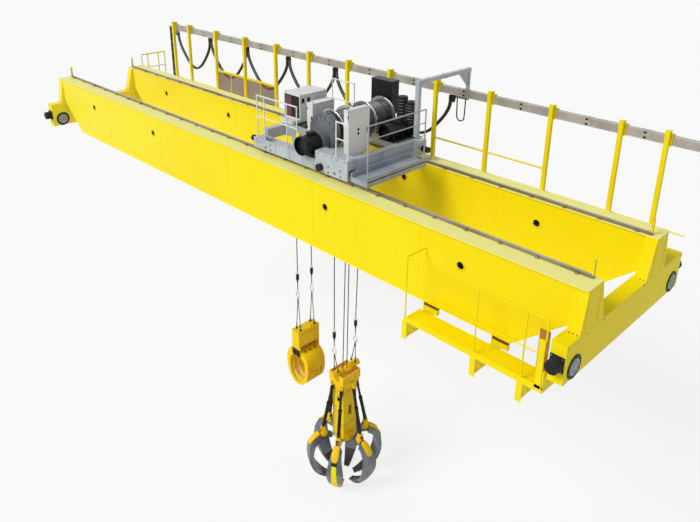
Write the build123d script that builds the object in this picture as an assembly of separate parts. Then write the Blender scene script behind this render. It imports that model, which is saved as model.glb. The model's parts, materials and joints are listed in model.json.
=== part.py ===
from build123d import *
import math
import os

# Main sizes of the bridge, in millimetres
CARRIAGE_SPAN = 15060.0
CARRIAGE_WIDTH = 220.0
CARRIAGE_HEIGHT = 590.0
CARRIAGE_FRONT_Y = -1600.0
CARRIAGE_REAR_Y = 2000.0
CARRIAGE_PLATE = 12.0
GIRDER_OUTER_Y = 1200.0
GIRDER_INNER_Y = 860.0
FLANGE_OUTER_Y = 1240.0
FLANGE_INNER_Y = 830.0
FLANGE_TOP_Z = 1225.0
FLANGE_PLATE = 16.0
WEB_PLATE = 10.0
GIRDER_BOTTOM_Z = -64.0
GIRDER_END_OVER = 110.0
BOTTOM_FLAT_INSET = 900.0
TAPER_TOP_INSET = 130.0
FOOT_PLATE = 12.0
END_BLOCK_LENGTH = 180.0
END_BLOCK_TOP_Y = (830.0, 1200.0)
END_BLOCK_FOOT_Y = (660.0, 1300.0)
DIAPHRAGM_INSETS = (2600.0, 5000.0)
WEB_HOLE_INSETS = (1830.0, 4690.0)
WEB_HOLE_Z = 805.0
WEB_HOLE_DIAMETER = 120.0
WEB_RING_DIAMETER = 170.0
WEB_RING_PROUD = 6.0

# Crab rails and their end stops
RAIL_GAUGE = 1780.0
RAIL_HEIGHT = 45.0
RAIL_WIDTH = 50.0
RAIL_START_X = 30.0
RAIL_END_X = CARRIAGE_SPAN - RAIL_START_X
STOP_HEIGHT = 215.0
STOP_WIDTH = 44.0
STOP_LENGTH = 30.0

# Wheels that carry the bridge along its runway
BRIDGE_WHEEL_DIAMETER = 370.0
BRIDGE_WHEEL_Z = 170.0
BRIDGE_WHEEL_Y = (-1340.0, 1740.0)
BRIDGE_TREAD_WIDTH = 90.0
BRIDGE_FLANGE_WIDTH = 16.0
BRIDGE_FLANGE_OVER = 12.0
BRIDGE_AXLE_DIAMETER = 90.0
AXLE_RUNNING_GAP = 0.1
WHEEL_SLOT_HALF = 200.0
BEARING_BOSS_DIAMETER = 190.0
BEARING_BOSS_DEPTH = 36.0
BEARING_PLATE_DIAMETER = 250.0
BEARING_PLATE = 12.0
AXLE_END = 18.0
SURROUND_DIAMETER = 350.0
SURROUND_PLATE = 8.0
BUFFER_DIAMETER = 190.0
BUFFER_LENGTH = 130.0
BUFFER_PLATE = 20.0
BUFFER_PLATE_HALF = (100.0, 115.0)
BUFFER_Z = 300.0

# Walkway behind the rear girder
WALK_INNER_Y = 1215.0
WALK_OUTER_Y = 2330.0
WALK_TOP_Z = 725.0
WALK_PLATE = 8.0
WALK_START_X = -190.0
WALK_END_X = CARRIAGE_SPAN - 500.0
WALK_CHANNEL = 120.0
WALK_KERB = 22.0
WALK_TIE_DIAMETER = 24.0
WALK_TIE_END_X = CARRIAGE_SPAN
BRACKET_COUNT = 12
BRACKET_DEPTH = 260.0
BRACKET_PLATE = 12.0

# Posts and track that carry the trailing cables
POST_PITCH_SCALE = CARRIAGE_SPAN / 15060.0
POST_X = [POST_PITCH_SCALE * x for x in (170.0, 980.0, 2290.0, 3590.0, 4880.0, 6120.0, 7430.0,
                                         8700.0, 9960.0, 11240.0, 12530.0, 13800.0, 14550.0)]
POST_Y = 2230.0
POST_SECTION = 70.0
POST_TOP_Z = 2390.0
TRACK_Y = 2330.0
TRACK_TOP_Z = 2300.0
TRACK_HEIGHT = 150.0
TRACK_WIDTH = 90.0
TRACK_WALL = 6.0
TRACK_SLOT = 30.0
TRACK_START_X = 120.0
TRACK_END_X = CARRIAGE_SPAN - 20.0
HEAD_PLATE = 14.0

# Guard panels and knee rails on the walkway posts
PANEL_START_COUNT = 2
PANEL_BAY_COUNT = 2
PANEL_TOP_Z = 1330.0
PANEL_PLATE = 6.0
TUBE_DIAMETER = 34.0
KNEE_Z = 1200.0
KNEE_START_COUNT = 8
KNEE_BAY_COUNT = 2
ACCESS_RAIL_X = -190.0
ACCESS_RAIL_Y = (1300.0, 1490.0, 1840.0, 2050.0)
ACCESS_RAIL_TOP_Z = 1500.0

# Maintenance platform under the front girder
PLAT_END_X = CARRIAGE_SPAN - 130.0
PLAT_LENGTH = 2350.0
PLAT_START_X = PLAT_END_X - PLAT_LENGTH
PLAT_OUTER_Y = -1640.0
PLAT_INNER_Y = -1262.0
PLAT_TOP_Z = -180.0
PLAT_PLATE = 50.0
PLAT_BRACKET_X = [PLAT_START_X + PLAT_LENGTH * share for share in (0.006, 0.54, 0.86)]
PLAT_BRACKET_DEPTH = 310.0
PLAT_BRACKET_PLATE = 14.0
PLAT_HANGER_LENGTH = 260.0
PLAT_UPRIGHT_TOP_Z = 560.0
PLAT_LEG_WIDTH = 150.0
PLAT_LEG_TOP_Z = 420.0
PLAT_RAIL_TOP_Z = 860.0
PLAT_KNEE_Z = 330.0
PLAT_RAIL_DIAMETER = 24.0

# Crab frame and its wheels
CRAB_LEFT_X = 8210.0
CRAB_RIGHT_X = 10730.0
CRAB_BEAM_OUTER_Y = 1030.0
CRAB_BEAM_INNER_Y = 790.0
CRAB_BEAM_Z = (1330.0, 1520.0)
REAR_BEAM_RISE = 90.0
CRAB_BLOCK_X = 9940.0
CRAB_BLOCK_TOP_Z = 1690.0
CRAB_WHEEL_X = (8560.0, 10420.0)
CRAB_WHEEL_DIAMETER = 240.0
CRAB_WHEEL_WIDTH = 60.0
CRAB_FLANGE_WIDTH = 10.0
CRAB_FLANGE_OVER = 12.0
CRAB_AXLE_DIAMETER = 60.0
CRAB_WALL = 12.0
CROSS_BEAM_X = ((8220.0, 8340.0), (9040.0, 9200.0), (10560.0, 10730.0))
CROSS_BEAM_Z = (1440.0, 1640.0)
DECK_PLATE = 20.0
WINCH_BEARER_Z = 1690.0

# Hoisting machinery on the crab
DRUM_X = 9720.0
DRUM_Z = 1900.0
DRUM_DIAMETER = 560.0
DRUM_RIM_DIAMETER = 700.0
DRUM_RIM_WIDTH = 24.0
FRONT_DRUM_Y = (-430.0, -40.0)
MIDDLE_DRUM_Y = (-16.0, 376.0)
REAR_DRUM_Y = (400.0, 876.0)
SHAFT_DIAMETER = 110.0
GEAR_DIAMETER = 660.0
GEAR_Y = (-640.0, -520.0)
MOTOR_DIAMETER = 330.0
MOTOR_BELL_DIAMETER = 380.0
MOTOR_Z = 1735.0
MOTOR_Y = (-1100.0, -800.0)
PEDESTAL_Y = ((-500.0, -470.0), (920.0, 950.0))
SMALL_DRUM_DIAMETER = 220.0
BRAKE_X = (10085.0, 10495.0)
BRAKE_Y = (890.0, 1028.0)
BRAKE_BASE_TOP_Z = 1700.0
BRAKE_BODY_TOP_Z = 2230.0
BRAKE_CANS = ((95.0, 190.0, 2330.0), (305.0, 210.0, 2270.0))
CONTROL_BOX = ((9370.0, 9900.0), (965.0, 1165.0), (1900.0, 2540.0))

# Cabinets and hand rails of the crab
LEFT_CABINET = ((8130.0, 8600.0), (-200.0, 500.0), (1750.0, 2240.0))
LEFT_CABINET_BASE = ((8200.0, 8560.0), (-360.0, 360.0))
MIDDLE_CABINET = ((9030.0, 9190.0), (-400.0, 140.0), (1660.0, 2230.0))
FRONT_CABINET = ((10400.0, 10490.0), (-790.0, -260.0), (1640.0, 2450.0))
CABINET_FOOT_INSET = 12.0
CRAB_RAIL_DIAMETER = 26.0
CRAB_RAIL_INSET = 60.0
CRAB_RAIL_Z = (1930.0, 2330.0)
FRONT_RAIL_X = (8270.0, 8480.0, 9120.0, 9400.0)
REAR_RAIL_X = (8270.0, 8900.0)
CORNER_RAIL_X = (10400.0, 10690.0)
CORNER_RAIL_Z = (2000.0, 2290.0)

# Two rope sets
ROPE_DIAMETER = 22.0
ROPE_JOINT_GAP = 2.0
HOLD_ROPE_Y = (-310.0, 440.0)
CLOSE_ROPE_Y = (40.0, 130.0)
SHEAVE_X = 9580.0
SHEAVE_Z = 1450.0
SHEAVE_PITCH_RADIUS = 90.0
SHEAVE_WIDTH = 30.0
SHEAVE_SHAFT = 40.0
SOCKET_Y = 310.0
CLOSE_SOCKET_Y = 60.0
MAIN_ROPE_X = SHEAVE_X + SHEAVE_PITCH_RADIUS
MAIN_SWIVEL_Z = -2540.0
SMALL_ROPE_X = 8420.0
SMALL_ROPE_Y = 200.0
SMALL_DRUM_Z = 1560.0
SMALL_SWIVEL_Z = -1750.0
SMALL_RING_Z = -2200.0
MAIN_RING_Z = -2950.0
SWIVEL_DIAMETER = 70.0
SWIVEL_LENGTH = 150.0
RING_DIAMETER = 110.0
RING_ROD = 22.0
SLING_DIAMETER = 18.0

# Main grab with six tines
HEAD_TOP_Z = -3560.0
HEAD_BOTTOM_Z = -3760.0
HEAD_SIZE = (420.0, 520.0)
TRUNK_SIZE = (330.0, 380.0)
TRUNK_BOTTOM_Z = -5300.0
TRUNK_WALL = 16.0
TINE_COUNT = 6
TINE_START_ANGLE = 0.0
TINE_PIVOT_RADIUS = 480.0
TINE_PIVOT_Z = -5140.0
TINE_WIDTH = 60.0
TINE_PIN_DIAMETER = 60.0
STRUT_TOP_RADIUS = 262.0
STRUT_TOP_Z = -3830.0
STRUT_SECTION = 46.0

# Small grab with two jaws
SMALL_BOX_SIZE = (230.0, 600.0)
SMALL_BOX_Z = (-3460.0, -3080.0)
JAW_AXIS_Z = -3660.0
JAW_AXIS_X = 70.0
JAW_TINE_COUNT = 4
JAW_TINE_WIDTH = 80.0
JAW_LENGTH = 512.0
JAW_TUBE_DIAMETER = 100.0
JAW_PIN_DIAMETER = 60.0
JAW_SIDE_GAP = 0.3

# Trailing cables
CARRIER_COUNT = 5
FIXED_CLAMP_X = 220.0
TOW_CARRIER_X = 10300.0
CARRIER_PITCH = (TOW_CARRIER_X - FIXED_CLAMP_X) / (CARRIER_COUNT + 1)
CARRIER_LENGTH = 120.0
CARRIER_BODY_Z = (2045.0, 2130.0)
SEAT_GAP = 0.3
LOOP_TOP_Z = CARRIER_BODY_Z[0] - SEAT_GAP
LOOP_SAG = 880.0
CABLE_DIAMETER = 64.0
TOW_LOOP_DIAMETER = 26.0
TOW_LOOP_X = (10330.0, 10530.0)
TOW_ARM_REACH = 130.0
TOW_LOOP_Y = TRACK_Y + TOW_ARM_REACH
TOW_BAR_Z = (2060.0, 2110.0)

# Running clearances
WHEEL_ON_RAIL_GAP = 0.3
BRIDGE_MID_X = CARRIAGE_SPAN / 2
RAIL_TOP_Z = FLANGE_TOP_Z + RAIL_HEIGHT


def box(x0, x1, y0, y1, z0, z1):
    """One block between two corners."""
    size = (abs(x1 - x0), abs(y1 - y0), abs(z1 - z0))
    middle = ((x0 + x1) / 2, (y0 + y1) / 2, (z0 + z1) / 2)
    return Pos(*middle) * Box(*size)


def rod(start, end, diameter):
    """One round bar between two points."""
    axis = Vector(*end) - Vector(*start)
    plane = Plane(origin=start, z_dir=axis)
    align = (Align.CENTER, Align.CENTER, Align.MIN)
    return plane * Cylinder(diameter / 2, axis.length, align=align)


def ring_disc(start, end, outer, inner):
    """One hollow round bar between two points."""
    return rod(start, end, outer) - rod(start, end, inner)


def prism(points, direction):
    """One solid from a flat outline pushed along a vector."""
    face = Face(Wire.make_polygon([Vector(*p) for p in points], close=True))
    push = Vector(*direction)
    return extrude(face, amount=push.length, dir=push.normalized())


def beam(start, end, width, depth, side=(0, 1, 0)):
    """One square bar between two points, its width along the side vector."""
    axis = Vector(*end) - Vector(*start)
    plane = Plane(origin=start, x_dir=side, z_dir=axis)
    align = (Align.CENTER, Align.CENTER, Align.MIN)
    return plane * Box(width, depth, axis.length, align=align)


def save(name, shapes):
    """Join what touches and write one file for the piece."""
    joined = shapes[0]
    if len(shapes) > 1:
        joined = shapes[0].fuse(*shapes[1:])
    if isinstance(joined, list):
        joined = Compound(children=joined)
    export_step(joined, f"parts/{name}.step")
    print(name, round(joined.volume / 1e9, 5))


def span_y(side, inner, outer):
    """Both faces of a piece on one side of the middle plane."""
    return (side * inner, side * outer) if side > 0 else (side * outer, side * inner)


def mirrored(insets):
    """Places at the same distances from both carriages."""
    return list(insets) + [CARRIAGE_SPAN - inset for inset in insets]


def girder_outline(y):
    """Side outline of a girder from its foot to the other foot."""
    left = -GIRDER_END_OVER
    right = CARRIAGE_SPAN + GIRDER_END_OVER
    top = FLANGE_TOP_Z - FLANGE_PLATE
    foot = CARRIAGE_HEIGHT + FOOT_PLATE
    inset = END_BLOCK_LENGTH
    return [
        (left + inset, y, top),
        (right - inset, y, top),
        (right - inset, y, foot),
        (CARRIAGE_SPAN - TAPER_TOP_INSET, y, foot),
        (CARRIAGE_SPAN - BOTTOM_FLAT_INSET, y, GIRDER_BOTTOM_Z),
        (BOTTOM_FLAT_INSET, y, GIRDER_BOTTOM_Z),
        (TAPER_TOP_INSET, y, foot),
        (left + inset, y, foot),
    ]


def girder_box(side):
    """Hollow box of two webs, flanges and diaphragms, tapered at both ends."""
    y0, y1 = span_y(side, GIRDER_INNER_Y, GIRDER_OUTER_Y)
    solid = prism(girder_outline(y0), (0, y1 - y0, 0))
    y2 = y0 + WEB_PLATE
    y3 = y1 - WEB_PLATE
    foot = CARRIAGE_HEIGHT + FOOT_PLATE
    low = GIRDER_BOTTOM_Z + WEB_PLATE
    top = FLANGE_TOP_Z - FLANGE_PLATE
    left = -GIRDER_END_OVER + END_BLOCK_LENGTH
    right = CARRIAGE_SPAN + GIRDER_END_OVER - END_BLOCK_LENGTH
    hollow = prism([
        (left, y2, top),
        (right, y2, top),
        (right, y2, foot + WEB_PLATE),
        (CARRIAGE_SPAN - TAPER_TOP_INSET - WEB_PLATE, y2, foot + WEB_PLATE),
        (CARRIAGE_SPAN - BOTTOM_FLAT_INSET - WEB_PLATE, y2, low),
        (BOTTOM_FLAT_INSET + WEB_PLATE, y2, low),
        (TAPER_TOP_INSET + WEB_PLATE, y2, foot + WEB_PLATE),
        (left, y2, foot + WEB_PLATE),
    ], (0, y3 - y2, 0))
    shell = solid - hollow
    plates = []
    for x in mirrored(DIAPHRAGM_INSETS) + [BRIDGE_MID_X]:
        plates.append(box(x - 5, x + 5, y2 - 2, y3 + 2, low - 2, top - 1))
    f0, f1 = span_y(side, FLANGE_INNER_Y, FLANGE_OUTER_Y)
    over = GIRDER_END_OVER
    plates.append(box(-over, CARRIAGE_SPAN + over, f0, f1, top, FLANGE_TOP_Z))
    shell = shell.fuse(*plates)
    for x in mirrored(WEB_HOLE_INSETS):
        for y in (y0, y1):
            ring = rod((x, y - WEB_RING_PROUD, WEB_HOLE_Z), (x, y + WEB_RING_PROUD, WEB_HOLE_Z),
                       WEB_RING_DIAMETER)
            hole = rod((x, y - 30, WEB_HOLE_Z), (x, y + 30, WEB_HOLE_Z), WEB_HOLE_DIAMETER)
            shell = shell.fuse(ring) - hole
    return shell


def end_block(side, at_right):
    """Flared foot of a girder with its end plate and bolted foot plate."""
    over = GIRDER_END_OVER
    if at_right:
        x0 = CARRIAGE_SPAN + over - END_BLOCK_LENGTH
    else:
        x0 = -over
    top = FLANGE_TOP_Z - FLANGE_PLATE
    foot = CARRIAGE_HEIGHT + FOOT_PLATE
    top_in, top_out = END_BLOCK_TOP_Y
    foot_in, foot_out = END_BLOCK_FOOT_Y
    outline = [
        (x0, side * top_in, top),
        (x0, side * top_out, top),
        (x0, side * foot_out, foot),
        (x0, side * foot_in, foot),
    ]
    solid = prism(outline, (END_BLOCK_LENGTH, 0, 0))
    wall = FOOT_PLATE
    inner = [
        (x0 + wall, side * (top_in + wall), top),
        (x0 + wall, side * (top_out - wall), top),
        (x0 + wall, side * (foot_out - wall), foot),
        (x0 + wall, side * (foot_in + wall), foot),
    ]
    solid = solid - prism(inner, (END_BLOCK_LENGTH - 2 * wall, 0, 0))
    y0, y1 = span_y(side, foot_in - 20, foot_out + 20)
    plate = box(x0, x0 + END_BLOCK_LENGTH, y0, y1, CARRIAGE_HEIGHT, foot)
    return [solid, plate]


def make_girder(name, side):
    """One main girder with both of its feet."""
    shapes = [girder_box(side)]
    shapes += end_block(side, True)
    shapes += end_block(side, False)
    save(name, shapes)


def make_rails():
    """Crab rails on the inner edges of the flanges, and their end stops."""
    shapes = []
    stops = []
    for side in (-1, 1):
        y = side * RAIL_GAUGE / 2
        half = RAIL_WIDTH / 2
        shapes.append(box(RAIL_START_X, RAIL_END_X, y - half, y + half, FLANGE_TOP_Z, RAIL_TOP_Z))
        for x0 in (RAIL_START_X - STOP_LENGTH, RAIL_END_X):
            post = box(x0, x0 + STOP_LENGTH, y - STOP_WIDTH / 2, y + STOP_WIDTH / 2,
                       FLANGE_TOP_Z, RAIL_TOP_Z + STOP_HEIGHT)
            stops.append(post)
    save("crab_rails", shapes + stops)


def make_carriage(name, x):
    """Hollow end carriage, open below at its wheels, with a bearing plate on each face."""
    half = CARRIAGE_WIDTH / 2
    wall = CARRIAGE_PLATE
    shell = box(x - half, x + half, CARRIAGE_FRONT_Y, CARRIAGE_REAR_Y, 0, CARRIAGE_HEIGHT)
    shell -= box(x - half + wall, x + half - wall, CARRIAGE_FRONT_Y + wall,
                 CARRIAGE_REAR_Y - wall, wall, CARRIAGE_HEIGHT - wall)
    bosses = []
    for y in BRIDGE_WHEEL_Y:
        shell -= box(x - half + wall, x + half - wall, y - WHEEL_SLOT_HALF, y + WHEEL_SLOT_HALF, -5, wall + 5)
        for way in (-1, 1):
            inner = x + way * (half - BEARING_BOSS_DEPTH)
            outer = x + way * (half + BEARING_PLATE)
            face = x + way * (half - 2)
            bosses.append(rod((inner, y, BRIDGE_WHEEL_Z), (outer, y, BRIDGE_WHEEL_Z), BEARING_BOSS_DIAMETER))
            bosses.append(rod((face, y, BRIDGE_WHEEL_Z), (outer, y, BRIDGE_WHEEL_Z), BEARING_PLATE_DIAMETER))
        for edge in (y - WHEEL_SLOT_HALF - wall, y + WHEEL_SLOT_HALF):
            bosses.append(box(x - half + 2, x + half - 2, edge, edge + wall, 2, wall + 40))
    shell = shell.fuse(*bosses)
    bore = BRIDGE_AXLE_DIAMETER + 2 * AXLE_RUNNING_GAP
    reach = half + BEARING_PLATE + 5
    for y in BRIDGE_WHEEL_Y:
        shell -= rod((x - reach, y, BRIDGE_WHEEL_Z), (x + reach, y, BRIDGE_WHEEL_Z), bore)
    save(name, [shell])


def make_buffers():
    """Round buffers on plates at the carriage ends, and the rings round the bearing plates."""
    shapes = []
    half_x, half_z = BUFFER_PLATE_HALF
    for x in (0.0, CARRIAGE_SPAN):
        for face, out in ((CARRIAGE_FRONT_Y, -1), (CARRIAGE_REAR_Y, 1)):
            mid = face + out * BUFFER_PLATE
            end = mid + out * BUFFER_LENGTH
            shapes.append(box(x - half_x, x + half_x, min(face, mid), max(face, mid),
                              BUFFER_Z - half_z, BUFFER_Z + half_z))
            shapes.append(rod((x, mid, BUFFER_Z), (x, end, BUFFER_Z), BUFFER_DIAMETER))
        for y in BRIDGE_WHEEL_Y:
            for way in (-1, 1):
                start = (x + way * CARRIAGE_WIDTH / 2, y, BRIDGE_WHEEL_Z)
                end = (x + way * (CARRIAGE_WIDTH / 2 + SURROUND_PLATE), y, BRIDGE_WHEEL_Z)
                shapes.append(ring_disc(start, end, SURROUND_DIAMETER, BEARING_PLATE_DIAMETER + 2 * SEAT_GAP))
    save("carriage_buffers", shapes)


def bridge_wheel(x, y):
    """One double flanged wheel on its through axle."""
    z = BRIDGE_WHEEL_Z
    tread = BRIDGE_TREAD_WIDTH / 2
    edge = tread + BRIDGE_FLANGE_WIDTH
    end = CARRIAGE_WIDTH / 2 + AXLE_END
    rim = BRIDGE_WHEEL_DIAMETER + 2 * BRIDGE_FLANGE_OVER
    return [
        rod((x - tread, y, z), (x + tread, y, z), BRIDGE_WHEEL_DIAMETER),
        rod((x - edge, y, z), (x - tread, y, z), rim),
        rod((x + tread, y, z), (x + edge, y, z), rim),
        rod((x - end, y, z), (x + end, y, z), BRIDGE_AXLE_DIAMETER),
    ]


def make_bridge_wheels():
    """Front pair and rear pair of wheels, each pair on one line."""
    for name, y in (("front_bridge_wheels", BRIDGE_WHEEL_Y[0]), ("rear_bridge_wheels", BRIDGE_WHEEL_Y[1])):
        save(name, bridge_wheel(0.0, y) + bridge_wheel(CARRIAGE_SPAN, y))


def make_walkway():
    """Deck along the rear girder on cantilever brackets, with an edge channel."""
    top = WALK_TOP_Z
    clear_x = END_BLOCK_LENGTH - GIRDER_END_OVER + 15
    clear_y = END_BLOCK_FOOT_Y[1] + 10
    shapes = [box(clear_x, WALK_END_X, WALK_INNER_Y, WALK_OUTER_Y, top - WALK_PLATE, top)]
    shapes.append(box(WALK_START_X, clear_x + 2, clear_y, WALK_OUTER_Y, top - WALK_PLATE, top))
    shapes.append(box(WALK_START_X, WALK_END_X, WALK_OUTER_Y - 8, WALK_OUTER_Y,
                      top - WALK_CHANNEL, top + WALK_KERB))
    shapes.append(box(WALK_START_X, WALK_END_X, WALK_OUTER_Y - 50, WALK_OUTER_Y,
                      top - WALK_CHANNEL, top - WALK_CHANNEL + 8))
    y = WALK_OUTER_Y - 20
    z = top - WALK_PLATE
    shapes.append(rod((WALK_END_X - 2, y, z), (WALK_TIE_END_X, y, z), WALK_TIE_DIAMETER))
    step = (WALK_END_X - 900) / (BRACKET_COUNT - 1)
    for i in range(BRACKET_COUNT):
        x = 520 + i * step
        outline = [
            (x, GIRDER_OUTER_Y, top - WALK_PLATE),
            (x, WALK_OUTER_Y - 8, top - WALK_PLATE),
            (x, WALK_OUTER_Y - 8, top - 100),
            (x, GIRDER_OUTER_Y, top - BRACKET_DEPTH),
        ]
        shapes.append(prism(outline, (BRACKET_PLATE, 0, 0)))
    save("walkway", shapes)


def make_posts():
    """Tall posts with their head brackets for the cable track."""
    shapes = []
    half = POST_SECTION / 2
    for x in POST_X:
        shapes.append(box(x - half, x + half, POST_Y - half, POST_Y + half, WALK_TOP_Z, POST_TOP_Z))
        shapes.append(box(x - 60, x + 60, POST_Y + half - 2, TRACK_Y + 45,
                          TRACK_TOP_Z, TRACK_TOP_Z + HEAD_PLATE))
        shapes.append(box(x - HEAD_PLATE / 2, x + HEAD_PLATE / 2, POST_Y, TRACK_Y + 40,
                          TRACK_TOP_Z, POST_TOP_Z - 10))
    save("walkway_posts", shapes)


def make_track():
    """Hollow cable track with a slot along its underside, and its fixed clamp."""
    y0 = TRACK_Y - TRACK_WIDTH / 2
    y1 = TRACK_Y + TRACK_WIDTH / 2
    z0 = TRACK_TOP_Z - TRACK_HEIGHT
    wall = TRACK_WALL
    rail = box(TRACK_START_X, TRACK_END_X, y0, y1, z0, TRACK_TOP_Z)
    rail -= box(TRACK_START_X - 1, TRACK_END_X + 1, y0 + wall, y1 - wall, z0 + wall, TRACK_TOP_Z - wall)
    rail -= box(TRACK_START_X - 1, TRACK_END_X + 1, TRACK_Y - TRACK_SLOT / 2,
                TRACK_Y + TRACK_SLOT / 2, z0 - 1, z0 + wall + 1)
    x = FIXED_CLAMP_X
    clamp = box(x - 50, x + 50, y0 + 5, y1 - 5, CARRIER_BODY_Z[0], z0)
    save("cable_track", [rail, clamp])


def make_guards():
    """Guard panels in two bays, and the thin rails of the walkway."""
    panels = []
    rails = []
    y = POST_Y
    half = POST_SECTION / 2
    for a in range(PANEL_START_COUNT, PANEL_START_COUNT + PANEL_BAY_COUNT):
        x0 = POST_X[a] + half
        x1 = POST_X[a + 1] - half
        panels.append(box(x0, x1, y - PANEL_PLATE / 2, y + PANEL_PLATE / 2,
                          WALK_TOP_Z, PANEL_TOP_Z - TUBE_DIAMETER / 2))
        rails.append(rod((x0, y, PANEL_TOP_Z), (x1, y, PANEL_TOP_Z), TUBE_DIAMETER))
    for a in range(KNEE_START_COUNT, KNEE_START_COUNT + KNEE_BAY_COUNT):
        rails.append(rod((POST_X[a] + half, y, KNEE_Z), (POST_X[a + 1] - half, y, KNEE_Z), TUBE_DIAMETER))
    save("guard_panels", panels)
    x = ACCESS_RAIL_X + 20
    y0 = ACCESS_RAIL_Y[0]
    y1 = ACCESS_RAIL_Y[-1]
    for yy in ACCESS_RAIL_Y:
        rails.append(rod((x, yy, WALK_TOP_Z), (x, yy, ACCESS_RAIL_TOP_Z), TUBE_DIAMETER * 0.88))
    for z in (ACCESS_RAIL_TOP_Z, (ACCESS_RAIL_TOP_Z + WALK_TOP_Z) / 2):
        across = TUBE_DIAMETER if z == ACCESS_RAIL_TOP_Z else TUBE_DIAMETER * 0.7
        rails.append(rod((x, y0, z), (x, y1, z), across))
    save("walkway_rails", rails)


def make_riser():
    """Flat riser that brings the supply up the first post."""
    x = POST_X[0] - 110
    shape = box(x - 45, x + 45, POST_Y - 40, POST_Y - 5, WALK_TOP_Z, TRACK_TOP_Z - 40)
    foot = box(x - 70, x + 70, POST_Y - 60, POST_Y + 20, WALK_TOP_Z, WALK_TOP_Z + 60)
    tie = box(x + 40, POST_X[0] - POST_SECTION / 2, POST_Y - 30, POST_Y - 10, 2050, 2090)
    save("supply_riser", [shape, foot, tie])


def make_platform():
    """Low platform under the front girder on brackets and hangers."""
    top = PLAT_TOP_Z
    floor = box(PLAT_START_X, PLAT_END_X, PLAT_OUTER_Y, PLAT_INNER_Y, top - PLAT_PLATE, top)
    shapes = [floor]
    for x in PLAT_BRACKET_X:
        y1 = -GIRDER_INNER_Y - 60
        shapes.append(box(x - PLAT_BRACKET_PLATE / 2, x + PLAT_BRACKET_PLATE / 2, PLAT_OUTER_Y, y1,
                          top - PLAT_PLATE - PLAT_BRACKET_DEPTH, top - PLAT_PLATE))
        shapes.append(box(x - 45, x + 45, PLAT_OUTER_Y, PLAT_OUTER_Y + 10,
                          top - PLAT_PLATE - PLAT_BRACKET_DEPTH, top - PLAT_PLATE))
    under = top - PLAT_PLATE
    for x in PLAT_BRACKET_X[:2]:
        shapes.append(box(x - 7, x + PLAT_HANGER_LENGTH, -1180, -1120, under, GIRDER_BOTTOM_Z))
        shapes.append(box(x - 7, x + 7, -1190, -920, under, GIRDER_BOTTOM_Z))
    x0 = PLAT_END_X - 120
    x1 = x0 - 70
    shapes.append(box(PLAT_END_X - 14, PLAT_END_X, PLAT_OUTER_Y, PLAT_INNER_Y, top, top + 270))
    shapes.append(box(x0, PLAT_END_X - 30, PLAT_OUTER_Y, PLAT_OUTER_Y + 12, top, PLAT_UPRIGHT_TOP_Z))
    shapes.append(box(x1 - PLAT_LEG_WIDTH, x1, -1220, -1206, under, PLAT_LEG_TOP_Z))
    shapes.append(box(x1 - PLAT_LEG_WIDTH, x1, PLAT_INNER_Y - 2, -1206, under, under + 14))
    save("service_platform", shapes)


def make_platform_rail():
    """Hand rail of the low platform, returned to the girder web at one end."""
    d = PLAT_RAIL_DIAMETER
    y = PLAT_OUTER_Y + 14
    top = PLAT_RAIL_TOP_Z
    x0 = PLAT_BRACKET_X[0]
    x1 = PLAT_END_X - 30
    shapes = []
    for x in PLAT_BRACKET_X:
        shapes.append(rod((x, y, PLAT_TOP_Z), (x, y, top), d))
    shapes.append(rod((x0, y, top), (x1, y, top), d))
    shapes.append(rod((x1, y, PLAT_UPRIGHT_TOP_Z), (x1, y, top), d))
    shapes.append(rod((x0, y, top), (x0, -GIRDER_OUTER_Y, top), d))
    shapes.append(rod((x0, y, PLAT_KNEE_Z), (PLAT_END_X - 122, y, PLAT_KNEE_Z), d * 0.8))
    save("platform_rail", shapes)


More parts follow.
